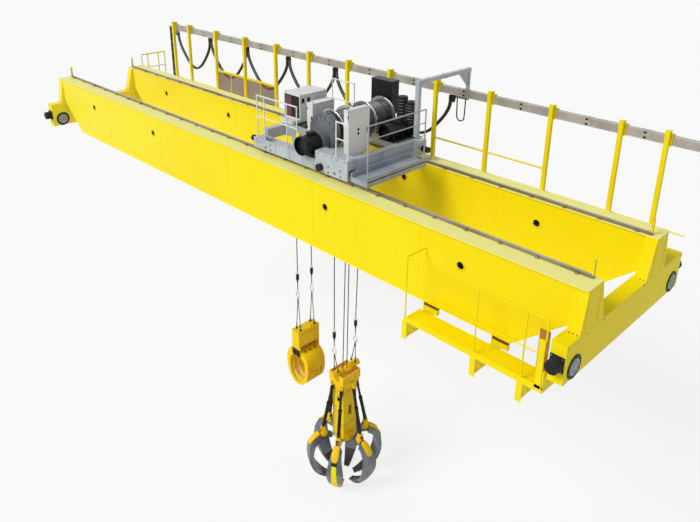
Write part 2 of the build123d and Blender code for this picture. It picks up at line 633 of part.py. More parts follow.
def make_crab_frame():
    """Side beams with wheel wells, cross beams, decks and pedestals of the crab."""
    x0 = CRAB_LEFT_X
    x1 = CRAB_RIGHT_X
    z0, z1 = CRAB_BEAM_Z
    out_y = CRAB_BEAM_OUTER_Y
    in_y = CRAB_BEAM_INNER_Y
    beams = [
        box(x0, x1, -out_y, -in_y, z0, z1),
        box(CRAB_BLOCK_X, x1, -out_y, -in_y, z0, CRAB_BLOCK_TOP_Z),
        box(x0, x1, in_y, out_y, z0, z1),
        box(x0, DRUM_X - 390, in_y, out_y, z1 - 2, z1 + REAR_BEAM_RISE),
        box(DRUM_X + 360, x1, in_y, out_y, z1 - 2, z1 + REAR_BEAM_RISE),
        box(DRUM_X - 392, DRUM_X + 362, REAR_DRUM_Y[1] + 36, out_y, z1 - 2, z1 + REAR_BEAM_RISE),
    ]
    bz0, bz1 = CROSS_BEAM_Z
    for a, b in CROSS_BEAM_X:
        beams.append(box(a, b, -in_y - 2, in_y + 2, bz0, bz1))
    mid_end = CROSS_BEAM_X[1][1]
    right = CROSS_BEAM_X[2][0]
    beams.append(box(mid_end - 2, right + 2, GEAR_Y[0] + 4, -465.0, bz1 - DECK_PLATE, bz1))
    for a, b in ((mid_end - 2, DRUM_X - 220), (DRUM_X + 220, right + 2)):
        beams.append(box(a, b, -in_y - 2, GEAR_Y[0] + 10, bz1 - DECK_PLATE, bz1))
    for y in (-360.0, 335.0):
        beams.append(box(CRAB_LEFT_X + 100, CROSS_BEAM_X[1][0] - 50, y, y + 25, bz0, WINCH_BEARER_Z))
        beams.append(box(CROSS_BEAM_X[1][0] - 52, CROSS_BEAM_X[1][0] + 2, y, y + 25, bz0, bz1))
    for a, b in PEDESTAL_Y:
        outline = [
            (DRUM_X - 260, a, 1600.0),
            (DRUM_X - 90, a, DRUM_Z + 90),
            (DRUM_X + 90, a, DRUM_Z + 90),
            (DRUM_X + 260, a, 1600.0),
        ]
        beams.append(prism(outline, (0, b - a, 0)))
    frame = beams[0].fuse(*beams[1:])
    for y0, y1 in ((-out_y, -in_y), (in_y, out_y)):
        for x in CRAB_WHEEL_X:
            frame -= box(x - 160, x + 160, y0 + CRAB_WALL + 40, y1 - CRAB_WALL - 40, z0 - 5, z0 + 215)
            bore = CRAB_AXLE_DIAMETER + 2 * AXLE_RUNNING_GAP
            wheel_z = RAIL_TOP_Z + CRAB_WHEEL_DIAMETER / 2 + WHEEL_ON_RAIL_GAP
            frame -= rod((x, y0 - 5, wheel_z), (x, y1 + 5, wheel_z), bore)
    bore = SHAFT_DIAMETER + 2 * AXLE_RUNNING_GAP
    frame -= rod((DRUM_X, PEDESTAL_Y[0][0] - 5, DRUM_Z), (DRUM_X, PEDESTAL_Y[1][1] + 5, DRUM_Z), bore)
    plates = []
    for y in (-380.0, 80.0, 500.0):
        plates.append(box(mid_end - 2, SHEAVE_X + 40, y - 6, y + 6, SHEAVE_Z - 60, SHEAVE_Z + 60))
    frame = frame.fuse(*plates)
    frame -= rod((SHEAVE_X, -400, SHEAVE_Z), (SHEAVE_X, 520, SHEAVE_Z), SHEAVE_SHAFT + 2 * SEAT_GAP)
    save("crab_frame", [frame])


def make_crab_wheels():
    """Left pair and right pair of crab wheels, each wheel on a stub axle."""
    z = RAIL_TOP_Z + CRAB_WHEEL_DIAMETER / 2 + WHEEL_ON_RAIL_GAP
    rim = CRAB_WHEEL_DIAMETER + 2 * CRAB_FLANGE_OVER
    half = CRAB_WHEEL_WIDTH / 2
    for name, x in (("left_crab_wheels", CRAB_WHEEL_X[0]), ("right_crab_wheels", CRAB_WHEEL_X[1])):
        shapes = []
        for side in (-1, 1):
            y = side * RAIL_GAUGE / 2
            shapes.append(rod((x, y - half, z), (x, y + half, z), CRAB_WHEEL_DIAMETER))
            shapes.append(rod((x, y - half - CRAB_FLANGE_WIDTH, z), (x, y - half, z), rim))
            shapes.append(rod((x, y + half, z), (x, y + half + CRAB_FLANGE_WIDTH, z), rim))
            mid = side * (CRAB_BEAM_OUTER_Y + CRAB_BEAM_INNER_Y) / 2
            shapes.append(rod((x, mid - 125, z), (x, mid + 125, z), CRAB_AXLE_DIAMETER))
        save(name, shapes)


def make_crab_drives():
    """Travel motors on the side beams and the round end buffers of the crab."""
    shapes = []
    y = -CRAB_BEAM_OUTER_Y
    shapes.append(rod((CRAB_LEFT_X - 150, y + 100, 1450), (CRAB_LEFT_X, y + 100, 1450), 110))
    shapes.append(rod((CRAB_LEFT_X - 150, -y - 100, 1450), (CRAB_LEFT_X, -y - 100, 1450), 110))
    shapes.append(rod((CRAB_RIGHT_X, y + 100, 1450), (CRAB_RIGHT_X + 60, y + 100, 1450), 110))
    shapes.append(rod((CRAB_RIGHT_X, -y - 100, 1450), (CRAB_RIGHT_X + 150, -y - 100, 1450), 110))
    shapes.append(rod((10080, y - 70, 1420), (10080, y, 1420), 130))
    shapes.append(rod((10140, -y, 1510), (10140, -y + 160, 1510), 180))
    save("crab_drives", shapes)


def make_gearcase():
    """Round gear case, motor flange, brackets and small winch cheeks."""
    g0, g1 = GEAR_Y
    case = rod((DRUM_X, g0, DRUM_Z), (DRUM_X, g1, DRUM_Z), GEAR_DIAMETER)
    flange = rod((DRUM_X, MOTOR_Y[1], MOTOR_Z), (DRUM_X, g0 + 2, MOTOR_Z), MOTOR_BELL_DIAMETER)
    foot = box(DRUM_X - 260, DRUM_X + 260, g0, g1, CROSS_BEAM_Z[1], DRUM_Z)
    case = case.fuse(foot) - box(DRUM_X - 400, DRUM_X + 400, g0 - 1, g1 + 1, 1500, CROSS_BEAM_Z[1])
    case = case.fuse(flange)
    bore = SHAFT_DIAMETER + 2 * AXLE_RUNNING_GAP
    case -= rod((DRUM_X, g0 + 60, DRUM_Z), (DRUM_X, g1 + 5, DRUM_Z), bore)
    save("hoist_gearcase", [case])


def make_motors():
    """Hoist motor, rear brake motors and their tall control box."""
    m0, m1 = MOTOR_Y
    front = rod((DRUM_X, m0, MOTOR_Z), (DRUM_X, m1 - SEAT_GAP, MOTOR_Z), MOTOR_DIAMETER)
    x0, x1 = BRAKE_X
    y0, y1 = BRAKE_Y
    base_z = CRAB_BEAM_Z[1] + REAR_BEAM_RISE
    shapes = [
        box(x0, x1, y0, y1, base_z, BRAKE_BASE_TOP_Z),
        box(x0, x1, y0 + 20, y1 - 8, BRAKE_BASE_TOP_Z, BRAKE_BODY_TOP_Z),
    ]
    for dx, across, top in BRAKE_CANS:
        y = (y0 + y1) / 2 + 6
        shapes.append(rod((x0 + dx, y, BRAKE_BASE_TOP_Z), (x0 + dx, y, top), across))
    brakes = shapes[0].fuse(*shapes[1:])
    (a, b), (c, d), (e, f) = CONTROL_BOX
    tall = box(a, b, c, d, e, f)
    tall = fillet(tall.edges().filter_by(Axis.Y), 30)
    stand = box(a + 30, b - 30, c + 10, CRAB_BEAM_OUTER_Y, base_z, e + 2)
    save("crab_motors", [front, brakes, tall.fuse(stand)])


def make_drums():
    """Three grooved drums with rims on one turning shaft."""
    shapes = [rod((DRUM_X, GEAR_Y[0] + 62, DRUM_Z), (DRUM_X, PEDESTAL_Y[1][1] + 5, DRUM_Z), SHAFT_DIAMETER)]
    for a, b in (FRONT_DRUM_Y, MIDDLE_DRUM_Y, REAR_DRUM_Y):
        shapes.append(rod((DRUM_X, a, DRUM_Z), (DRUM_X, b, DRUM_Z), DRUM_DIAMETER))
    for y in (FRONT_DRUM_Y[0] - 24, FRONT_DRUM_Y[1], MIDDLE_DRUM_Y[1], REAR_DRUM_Y[1]):
        shapes.append(rod((DRUM_X, y, DRUM_Z), (DRUM_X, y + DRUM_RIM_WIDTH, DRUM_Z), DRUM_RIM_DIAMETER))
    save("hoist_drums", shapes)


def make_small_winch():
    """Small winch drum between its cheeks under the first cabinet."""
    x = SMALL_ROPE_X + SMALL_DRUM_DIAMETER / 2 + ROPE_DIAMETER / 2
    shapes = [
        rod((x, -330, SMALL_DRUM_Z), (x, 330, SMALL_DRUM_Z), SMALL_DRUM_DIAMETER),
        box(x - 60, x + 60, -335, -318, 1500, 1600),
        box(x - 60, x + 60, 318, 335, 1500, 1600),
    ]
    save("small_winch", shapes)


def cabinet(place, foot_z):
    """One upright cabinet with a set back foot."""
    (x0, x1), (y0, y1), (z0, z1) = place
    inset = CABINET_FOOT_INSET
    body = box(x0, x1, y0, y1, z0, z1)
    if foot_z < z0:
        body = body.fuse(box(x0 + inset, x1 - inset, y0 + inset, y1 - inset, foot_z, z0 + 2))
    return body


def make_cabinets():
    """Three electrical cabinets standing on the crab."""
    (x0, x1), (y0, y1) = LEFT_CABINET_BASE
    base = box(x0, x1, y0, y1, WINCH_BEARER_Z, LEFT_CABINET[2][0] + 2)
    left = cabinet(LEFT_CABINET, LEFT_CABINET[2][0]).fuse(base)
    middle = cabinet(MIDDLE_CABINET, CROSS_BEAM_Z[1])
    front = cabinet(FRONT_CABINET, CROSS_BEAM_Z[1])
    save("crab_cabinets", [left, middle, front])


def make_crab_rails():
    """Hand rails along the front and rear of the crab, and the guard at its front corner."""
    d = CRAB_RAIL_DIAMETER
    y = -CRAB_BEAM_OUTER_Y + CRAB_RAIL_INSET
    mid, top = CRAB_RAIL_Z
    shapes = []
    for x in FRONT_RAIL_X:
        shapes.append(rod((x, y, CRAB_BEAM_Z[1]), (x, y, top), d * 0.92))
    for z in (top, mid):
        shapes.append(rod((FRONT_RAIL_X[0], y, z), (FRONT_RAIL_X[-1], y, z), d if z == top else d * 0.84))
    for x in REAR_RAIL_X:
        shapes.append(rod((x, -y, CRAB_BEAM_Z[1] + REAR_BEAM_RISE), (x, -y, top), d * 0.92))
    for z in (top, mid):
        shapes.append(rod((REAR_RAIL_X[0], -y, z), (REAR_RAIL_X[-1], -y, z), d if z == top else d * 0.84))
    a, b = CORNER_RAIL_X
    for x in CORNER_RAIL_X:
        shapes.append(rod((x, y, CRAB_BLOCK_TOP_Z), (x, y, CORNER_RAIL_Z[1]), d * 0.92))
    for z in CORNER_RAIL_Z:
        shapes.append(rod((a, y, z), (b, y, z), d if z == CORNER_RAIL_Z[1] else d * 0.84))
    save("crab_hand_rails", shapes)


def make_step_platform():
    """Stepped side platform of the crab with its three hand rails."""
    x0 = CRAB_RIGHT_X
    shapes = [
        box(x0, x0 + 90, -860, 640, 1480, 1510),
        box(x0 + 65, x0 + 90, -1010, 640, 1360, 1505),
        box(x0 + 88, x0 + 422, -1010, 470, 1390, 1420),
        box(x0 + 420, x0 + 450, -1020, 480, 1340, 1440),
        box(x0 + 85, x0 + 424, -1020, -1006, 1345, 1435),
        box(x0 + 85, x0 + 424, 466, 480, 1345, 1435),
    ]
    d = 24.0
    x = x0 + 435
    top = 2385.0
    for y in (-1000, 430):
        shapes.append(rod((x, y, 1430), (x, y, top), d))
    for z in (top, 2150, 1920):
        shapes.append(rod((x, -1000, z), (x, 430, z), d if z == top else d * 0.8))
    shapes.append(rod((x0 + 40, -1000, 1680), (x0 + 40, 630, 1680), d + 10))
    for y in (-850, -200, 600):
        shapes.append(rod((x0 + 40, y, 1505), (x0 + 40, y, 1680), d))
    save("step_platform", shapes)


def make_tow_arm():
    """Pole and arm that pull the last cable carrier."""
    x = 10560.0
    y0 = 940.0
    y1 = TRACK_Y + TOW_ARM_REACH
    shapes = [
        box(x - 40, x + 40, y0 - 40, y0 + 40, CRAB_BEAM_Z[1] + 90, 2700),
        box(x - 40, x + 40, y0 - 40, y1 + 30, 2630, 2700),
        box(x - 30, x + 30, y1 - 30, y1 + 30, TOW_BAR_Z[0], 2632),
        box(TOW_CARRIER_X, x + 30, y1 - 30, y1 + 30, TOW_BAR_Z[0], TOW_BAR_Z[1]),
        box(TOW_CARRIER_X - 25, TOW_CARRIER_X + 25, TRACK_Y + 35 + SEAT_GAP, y1 + 30,
            TOW_BAR_Z[0], TOW_BAR_Z[1]),
    ]
    gusset = [(x, y1 - 28, 2632), (x, y1 - 330, 2632), (x, y1 - 28, 2330)]
    shapes.append(prism(gusset, (12, 0, 0)))
    save("tow_arm", shapes)


def carrier_shapes(x):
    """One cable carrier: rollers in the track, a neck through the slot, a body."""
    z0, z1 = CARRIER_BODY_Z
    under = TRACK_TOP_Z - TRACK_HEIGHT
    half = CARRIER_LENGTH / 2
    floor = under + TRACK_WALL + WHEEL_ON_RAIL_GAP
    shapes = [
        box(x - half, x + half, TRACK_Y - 35, TRACK_Y + 35, z0, z1),
        box(x - 20, x + 20, TRACK_Y - 9, TRACK_Y + 9, z1 - 2, floor + 32),
    ]
    for side in (-1, 1):
        y = TRACK_Y + side * 7
        shapes.append(rod((x, y, floor + 26), (x, TRACK_Y + side * 34, floor + 26), 52))
    return shapes


def make_carriers():
    """Cable carriers at an even pitch between the fixed clamp and the tow arm."""
    for i in range(CARRIER_COUNT + 1):
        x = FIXED_CLAMP_X + (i + 1) * CARRIER_PITCH
        save(f"cable_carrier_{i + 1}", carrier_shapes(x))


def loop_points(x0, x1):
    """Route of one hanging cable loop between two clamps."""
    span = x1 - x0
    shares = (0.0, 0.0, 0.06, 0.165, 0.275, 0.385, 0.5, 0.615, 0.725, 0.835, 0.94, 1.0, 1.0)
    drops = (0.0, 0.14, 0.37, 0.615, 0.83, 0.965, 1.02, 0.965, 0.83, 0.615, 0.37, 0.14, 0.0)
    return [(x0 + span * s, TRACK_Y, LOOP_TOP_Z - LOOP_SAG * d) for s, d in zip(shares, drops)]


def corner_radii(points):
    """Largest even radii for the corners of a route."""
    radii = []
    for a, b, c in zip(points, points[1:], points[2:]):
        u = Vector(*b) - Vector(*a)
        v = Vector(*c) - Vector(*b)
        turn = math.radians(u.get_angle(v))
        radii.append(0.45 * min(u.length, v.length) / math.tan(turn / 2))
    return radii


def cord_tube(points, diameter):
    """Round tube along straight runs joined by tangent arcs."""
    radii = corner_radii(points)
    path = FilletPolyline(*points, radius=radii)
    start = Vector(*points[0])
    direction = Vector(*points[1]) - start
    section = Plane(origin=start, z_dir=direction) * Circle(diameter / 2)
    tube = sweep(section, path=path)
    ideal = math.pi * diameter * diameter / 4 * path.length
    print("radii", [round(r) for r in radii])
    print("cord length", round(path.length), "volume ratio", round(tube.volume / ideal, 4))
    return tube


def make_loops():
    """Six hanging loops of trailing cable."""
    for i in range(CARRIER_COUNT + 1):
        a = FIXED_CLAMP_X + i * CARRIER_PITCH + 38
        b = FIXED_CLAMP_X + (i + 1) * CARRIER_PITCH - 38
        points = loop_points(a, b)
        save(f"cable_loop_{i + 1}", [cord_tube(points, CABLE_DIAMETER)])


def make_tow_loop():
    """Narrow loop of cable between the last carrier and the tow arm."""
    x0, x1 = TOW_LOOP_X
    y = TOW_LOOP_Y
    half = (x1 - x0) / 2
    legs = ((0.0, 0.0), (2.0, 150.0), (6.0, 300.0), (10.5, 396.0))
    bends = ((34.5, 437.6), (76.1, 461.6))
    left = [(x0 + dx, y, TOW_BAR_Z[0] - SEAT_GAP - dz) for dx, dz in legs + bends]
    right = [(2 * (x0 + half) - px, py, pz) for px, py, pz in reversed(left)]
    save("tow_loop", [cord_tube(left + right, TOW_LOOP_DIAMETER)])


def rope_run(points, diameter):
    """Straight rope pieces with round joints at the bends."""
    shapes = [rod(a, b, diameter) for a, b in zip(points, points[1:])]
    for p in points[1:-1]:
        shapes.append(Pos(*p) * Sphere(diameter / 2))
    return shapes[0] if len(shapes) == 1 else shapes[0].fuse(*shapes[1:])


def make_rope_leads():
    """Short leads from the drums over the guide sheaves, and the sheaves."""
    rope = ROPE_DIAMETER / 2
    drum_r = DRUM_DIAMETER / 2 + rope + 0.3
    pitch = SHEAVE_PITCH_RADIUS
    dx = DRUM_X - SHEAVE_X
    dz = DRUM_Z - SHEAVE_Z
    distance = math.hypot(dx, dz)
    lean = math.atan2(dz, dx) - math.acos((drum_r + pitch) / distance)
    nx = math.cos(lean)
    nz = math.sin(lean)
    shapes = []
    for y in HOLD_ROPE_Y + CLOSE_ROPE_Y:
        points = [(DRUM_X - drum_r * nx, y, DRUM_Z - drum_r * nz)]
        for part in (1.0, 0.75, 0.5, 0.25, 0.0):
            a = lean * part
            points.append((SHEAVE_X + pitch * math.cos(a), y, SHEAVE_Z + pitch * math.sin(a)))
        shapes.append(rope_run(points, ROPE_DIAMETER))
    save("rope_leads", shapes)
    shaft_start = (SHEAVE_X, HOLD_ROPE_Y[0] - 60, SHEAVE_Z)
    shaft_end = (SHEAVE_X, HOLD_ROPE_Y[1] + 50, SHEAVE_Z)
    wheels = [rod(shaft_start, shaft_end, SHEAVE_SHAFT)]
    for y in HOLD_ROPE_Y + CLOSE_ROPE_Y:
        half = SHEAVE_WIDTH / 2
        wheels.append(rod((SHEAVE_X, y - half, SHEAVE_Z), (SHEAVE_X, y + half, SHEAVE_Z),
                          2 * (pitch - rope - 0.3)))
    save("guide_sheaves", wheels)


def swivel(x, y, z):
    """Rope swivel of two cones on a barrel."""
    d = SWIVEL_DIAMETER
    length = SWIVEL_LENGTH
    barrel = rod((x, y, z - length / 2), (x, y, z + length / 2), d)
    top = Pos(x, y, z + length / 2 + 35) * Cone(d / 2, ROPE_DIAMETER / 2 + 4, 70)
    low = Pos(x, y, z - length / 2 - 35) * Cone(ROPE_DIAMETER / 2 + 4, d / 2, 70)
    return barrel.fuse(top, low)


def rope_end(x, y, z_top, z_ring, feet):
    """Swivel, tail rope, ring and the two legs of a sling."""
    ring = Pos(x, y, z_ring) * Rot(90, 0, 0) * Torus(RING_DIAMETER / 2, RING_ROD / 2)
    tail = rod((x, y, z_ring + RING_DIAMETER / 2), (x, y, z_top - SWIVEL_LENGTH / 2 - 30), ROPE_DIAMETER)
    legs = [rod((x, y, z_ring - RING_DIAMETER / 2), foot, SLING_DIAMETER) for foot in feet]
    return swivel(x, y, z_top).fuse(tail, ring, *legs)


def make_hoist_ropes():
    """Falls of both rope sets that shorten and lengthen as the grabs rise and sink."""
    shapes = []
    x = MAIN_ROPE_X
    end = MAIN_SWIVEL_Z + SWIVEL_LENGTH / 2 + 70 + ROPE_JOINT_GAP / 2
    for y, foot in zip(HOLD_ROPE_Y, (-SOCKET_Y, SOCKET_Y)):
        shapes.append(rod((x, foot, end), (x, y, SHEAVE_Z - ROPE_JOINT_GAP), ROPE_DIAMETER))
    for y, foot in zip(CLOSE_ROPE_Y, (-CLOSE_SOCKET_Y, CLOSE_SOCKET_Y)):
        shapes.append(rod((x, foot, HEAD_TOP_Z), (x, y, SHEAVE_Z - ROPE_JOINT_GAP), ROPE_DIAMETER))
    save("main_hoist_ropes", shapes)
    x = SMALL_ROPE_X
    end = SMALL_SWIVEL_Z + SWIVEL_LENGTH / 2 + 70 + ROPE_JOINT_GAP / 2
    shapes = []
    for y in (-SMALL_ROPE_Y, SMALL_ROPE_Y):
        shapes.append(rod((x, y, end), (x, y, SMALL_DRUM_Z), ROPE_DIAMETER))
    save("small_hoist_ropes", shapes)


def make_rope_ends():
    """Swivels, rings and slings above the main grab."""
    x = MAIN_ROPE_X
    z = HEAD_TOP_Z + 77
    shapes = []
    for side in (-1, 1):
        y = side * SOCKET_Y
        feet = [(x - 60, side * 250.0, z), (x + 60, side * 250.0, z)]
        shapes.append(rope_end(x, y, MAIN_SWIVEL_Z, MAIN_RING_Z, feet))
    save("main_rope_ends", shapes)


def tine_angles():
    """Compass angles of the tines around the trunk."""
    return [TINE_START_ANGLE + i * 360.0 / TINE_COUNT for i in range(TINE_COUNT)]


def around(angle, shape):
    """Turn a piece drawn in the plane of the first tine to its own angle."""
    return Pos(MAIN_ROPE_X, 0, 0) * Rot(0, 0, angle) * shape


def make_grab_trunk():
    """Grab head with cross tube, hollow trunk with windows and lower block."""
    x = MAIN_ROPE_X
    hx = TRUNK_SIZE[0] / 2
    hy = TRUNK_SIZE[1] / 2
    w = TRUNK_WALL
    top = HEAD_BOTTOM_Z
    trunk = box(x - hx, x + hx, -hy, hy, TRUNK_BOTTOM_Z, top)
    trunk -= box(x - hx + w, x + hx - w, -hy + w, hy - w, TRUNK_BOTTOM_Z + 200, top + 1)
    for face in (-hx, hx):
        trunk -= box(x + face - 30, x + face + 30, -45, 45, -4640, -4400)
    for face in (-hy, hy):
        trunk -= box(x - 35, x + 35, face - 30, face + 30, -4300, -4180)
    head = box(x - HEAD_SIZE[0] / 2, x + HEAD_SIZE[0] / 2, -HEAD_SIZE[1] / 2, HEAD_SIZE[1] / 2,
               top - 2, HEAD_TOP_Z)
    head -= box(x - 60, x + 60, -120, 120, top - 5, HEAD_TOP_Z + 5)
    lugs = []
    for side in (-1, 1):
        tube = rod((x, side * 110, HEAD_TOP_Z + 20), (x, side * 370, HEAD_TOP_Z + 20), 150)
        lugs.append(tube)
    block = rod((x, 0, TRUNK_BOTTOM_Z), (x, 0, TRUNK_BOTTOM_Z + 190), 2 * 215)
    skirt = rod((x, 0, STRUT_TOP_Z - 60), (x, 0, STRUT_TOP_Z + 60), 2 * 230)
    skirt -= box(x - hx + w, x + hx - w, -hy + w, hy - w, STRUT_TOP_Z - 70, STRUT_TOP_Z + 70)
    for angle in tine_angles():
        ear = box(222, STRUT_TOP_RADIUS + 40, -32, 32, STRUT_TOP_Z - 60, STRUT_TOP_Z + 60)
        lugs.append(around(angle, ear))
    save("grab_trunk", [trunk, head, block, skirt] + lugs)


def make_struts():
    """Six rods from the head to the forks that carry the tine pins."""
    shapes = []
    gap = JAW_SIDE_GAP
    for angle in tine_angles():
        top = (STRUT_TOP_RADIUS, 0, STRUT_TOP_Z - 45)
        low = (TINE_PIVOT_RADIUS, 0, TINE_PIVOT_Z + 150)
        bar = beam(top, low, STRUT_SECTION, STRUT_SECTION)
        bar -= box(0, 400, -50, 50, STRUT_TOP_Z - 60 - SEAT_GAP, STRUT_TOP_Z + 100)
        crown = box(TINE_PIVOT_RADIUS - 45, TINE_PIVOT_RADIUS + 45, -44, 44,
                    TINE_PIVOT_Z + 100, TINE_PIVOT_Z + 160)
        inner = TINE_WIDTH / 2 + gap
        cheeks = []
        for side in (-1, 1):
            y0, y1 = span_y(side, inner, inner + 14)
            cheeks.append(box(TINE_PIVOT_RADIUS - 45, TINE_PIVOT_RADIUS + 45, y0, y1,
                              TINE_PIVOT_Z - 50, TINE_PIVOT_Z + 110))
        pin = rod((TINE_PIVOT_RADIUS, -56, TINE_PIVOT_Z), (TINE_PIVOT_RADIUS, 56, TINE_PIVOT_Z),
                  TINE_PIN_DIAMETER)
        shapes.append(around(angle, bar.fuse(crown, pin, *cheeks)))
    save("grab_struts", shapes)


TINE_OUTER = ((560, -5150), (745, -5310), (815, -5680), (700, -6060), (430, -6330), (225, -6425))
TINE_INNER = ((210, -6380), (405, -6270), (625, -6010), (722, -5680), (655, -5400), (520, -5300))
TINE_ARM = ((270, -5290), (270, -5190), (400, -5100), (440, -5080), (520, -5080))
TINE_SHOULDER = ((560, -5150), (690, -5245), (760, -5390), (690, -5420), (600, -5345), (520, -5300))
TINE_HALF_WIDTHS = ((70, -5100), (100, -5300), (165, -5650), (160, -5950), (105, -6250), (38, -6450))


def tine_blade():
    """Curved shell plate of one tine, pointed towards its tip."""
    outer = [Vector(r, -200.0, z) for r, z in TINE_OUTER]
    inner = [Vector(r, -200.0, z) for r, z in TINE_INNER]
    edges = [Spline(*outer), Line(outer[-1], inner[0]), Spline(*inner), Line(inner[-1], outer[0])]
    side_view = extrude(Face(Wire(edges)), amount=400.0, dir=(0, 1, 0))
    right = [Vector(0, y, z) for y, z in TINE_HALF_WIDTHS]
    left = [Vector(0, -y, z) for y, z in reversed(TINE_HALF_WIDTHS)]
    rims = [Spline(*right), Line(right[-1], left[0]), Spline(*left), Line(left[-1], right[0])]
    front_view = extrude(Face(Wire(rims)), amount=950.0, dir=(1, 0, 0))
    return side_view & front_view


def tine_shape():
    """One curved tine with its eye and inner arm, drawn at angle zero."""
    blade = tine_blade()
    half = TINE_WIDTH / 2
    plate = prism([(r, -half, z) for r, z in TINE_SHOULDER + TINE_ARM], (0, TINE_WIDTH, 0))
    bore = TINE_PIN_DIAMETER + 2 * AXLE_RUNNING_GAP
    hole = rod((TINE_PIVOT_RADIUS, -60, TINE_PIVOT_Z), (TINE_PIVOT_RADIUS, 60, TINE_PIVOT_Z), bore)
    sweep_clear = rod((TINE_PIVOT_RADIUS, -120, TINE_PIVOT_Z), (TINE_PIVOT_RADIUS, -half, TINE_PIVOT_Z), 190)
    other_clear = rod((TINE_PIVOT_RADIUS, half, TINE_PIVOT_Z), (TINE_PIVOT_RADIUS, 120, TINE_PIVOT_Z), 190)
    blade = blade - sweep_clear - other_clear
    return blade.fuse(plate) - hole


def make_tines():
    """Six tines set around the trunk."""
    shape = tine_shape()
    for i, angle in enumerate(tine_angles()):
        save(f"grab_tine_{i + 1}", [around(angle, shape)])


def make_small_grab():
    """Drive box of the small grab with its rope ends, cheeks and pins."""
    x = SMALL_ROPE_X
    hx = SMALL_BOX_SIZE[0] / 2
    hy = SMALL_BOX_SIZE[1] / 2
    z0, z1 = SMALL_BOX_Z
    shapes = [box(x - hx, x + hx, -hy, hy, z0, z1)]
    for side in (-1, 1):
        y0, y1 = span_y(side, 262, 284)
        shapes.append(box(x - 130, x + 130, y0, y1, JAW_AXIS_Z - 60, z0 + 2))
        for sx in (-1, 1):
            px = x + sx * JAW_AXIS_X
            shapes.append(rod((px, y0, JAW_AXIS_Z), (px, y1 + side * 12, JAW_AXIS_Z), JAW_PIN_DIAMETER))
    for sx in (-1, 1):
        px = x + sx * JAW_AXIS_X
        shapes.append(rod((px, -284, JAW_AXIS_Z), (px, 284, JAW_AXIS_Z), JAW_PIN_DIAMETER))
    save("small_grab_box", shapes)
    ends = []
    for side in (-1, 1):
        y = side * SMALL_ROPE_Y
        feet = [(x - 70, y, z1 + 1.1), (x + 70, y, z1 + 1.1)]
        ends.append(rope_end(x, y, SMALL_SWIVEL_Z, SMALL_RING_Z, feet))
    save("small_rope_ends", ends)


JAW_OUTER = ((20, 52), (120, 40), (210, -30), (270, -160), (288, -330), (262, -520), (185, -690),
             (70, -800), (-55, -845))
JAW_INNER = ((-52, -800), (45, -735), (130, -620), (178, -480), (190, -330), (160, -200), (100, -120),
             (20, -90), (-40, -50), (-50, 0), (-30, 45))


def jaw(side):
    """One jaw of curved tines on a hub tube."""
    x = SMALL_ROPE_X + side * JAW_AXIS_X
    z = JAW_AXIS_Z
    half = JAW_LENGTH / 2
    pitch = (JAW_LENGTH - JAW_TINE_WIDTH) / (JAW_TINE_COUNT - 1)
    shapes = [rod((x, -half, z), (x, half, z), JAW_TUBE_DIAMETER)]
    for i in range(JAW_TINE_COUNT):
        y = i * pitch - half
        outline = [(x + side * px, y, z + pz) for px, pz in JAW_OUTER + JAW_INNER]
        shapes.append(prism(outline, (0, JAW_TINE_WIDTH, 0)))
    body = shapes[0].fuse(*shapes[1:])
    bore = JAW_PIN_DIAMETER + 2 * AXLE_RUNNING_GAP
    return body - rod((x, -300, z), (x, 300, z), bore)


def make_jaws():
    """Left jaw and right jaw."""
    save("small_jaw_left", [jaw(-1)])
    save("small_jaw_right", [jaw(1)])


os.makedirs("parts", exist_ok=True)
make_girder("front_girder", -1)
make_girder("rear_girder", 1)
make_rails()
make_carriage("left_end_carriage", 0.0)
make_carriage("right_end_carriage", CARRIAGE_SPAN)
make_buffers()
make_bridge_wheels()
make_walkway()
make_posts()
make_track()
make_guards()
make_riser()
make_platform()
make_platform_rail()
make_crab_frame()
make_crab_wheels()
make_crab_drives()
make_gearcase()
make_motors()
make_drums()
make_small_winch()
make_cabinets()
make_crab_rails()
make_step_platform()
make_tow_arm()
make_carriers()
make_loops()
make_tow_loop()
make_rope_leads()
make_hoist_ropes()
make_rope_ends()
make_grab_trunk()
make_struts()
make_tines()
make_small_grab()
make_jaws()
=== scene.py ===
"""Looks of the overhead bridge crane: camera, light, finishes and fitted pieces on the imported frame."""
from __future__ import annotations

import json
import logging
import math
from dataclasses import dataclass, field, replace
from enum import Enum
from typing import Callable, Iterable, Sequence

import bmesh
import bpy
from mathutils import Matrix, Vector

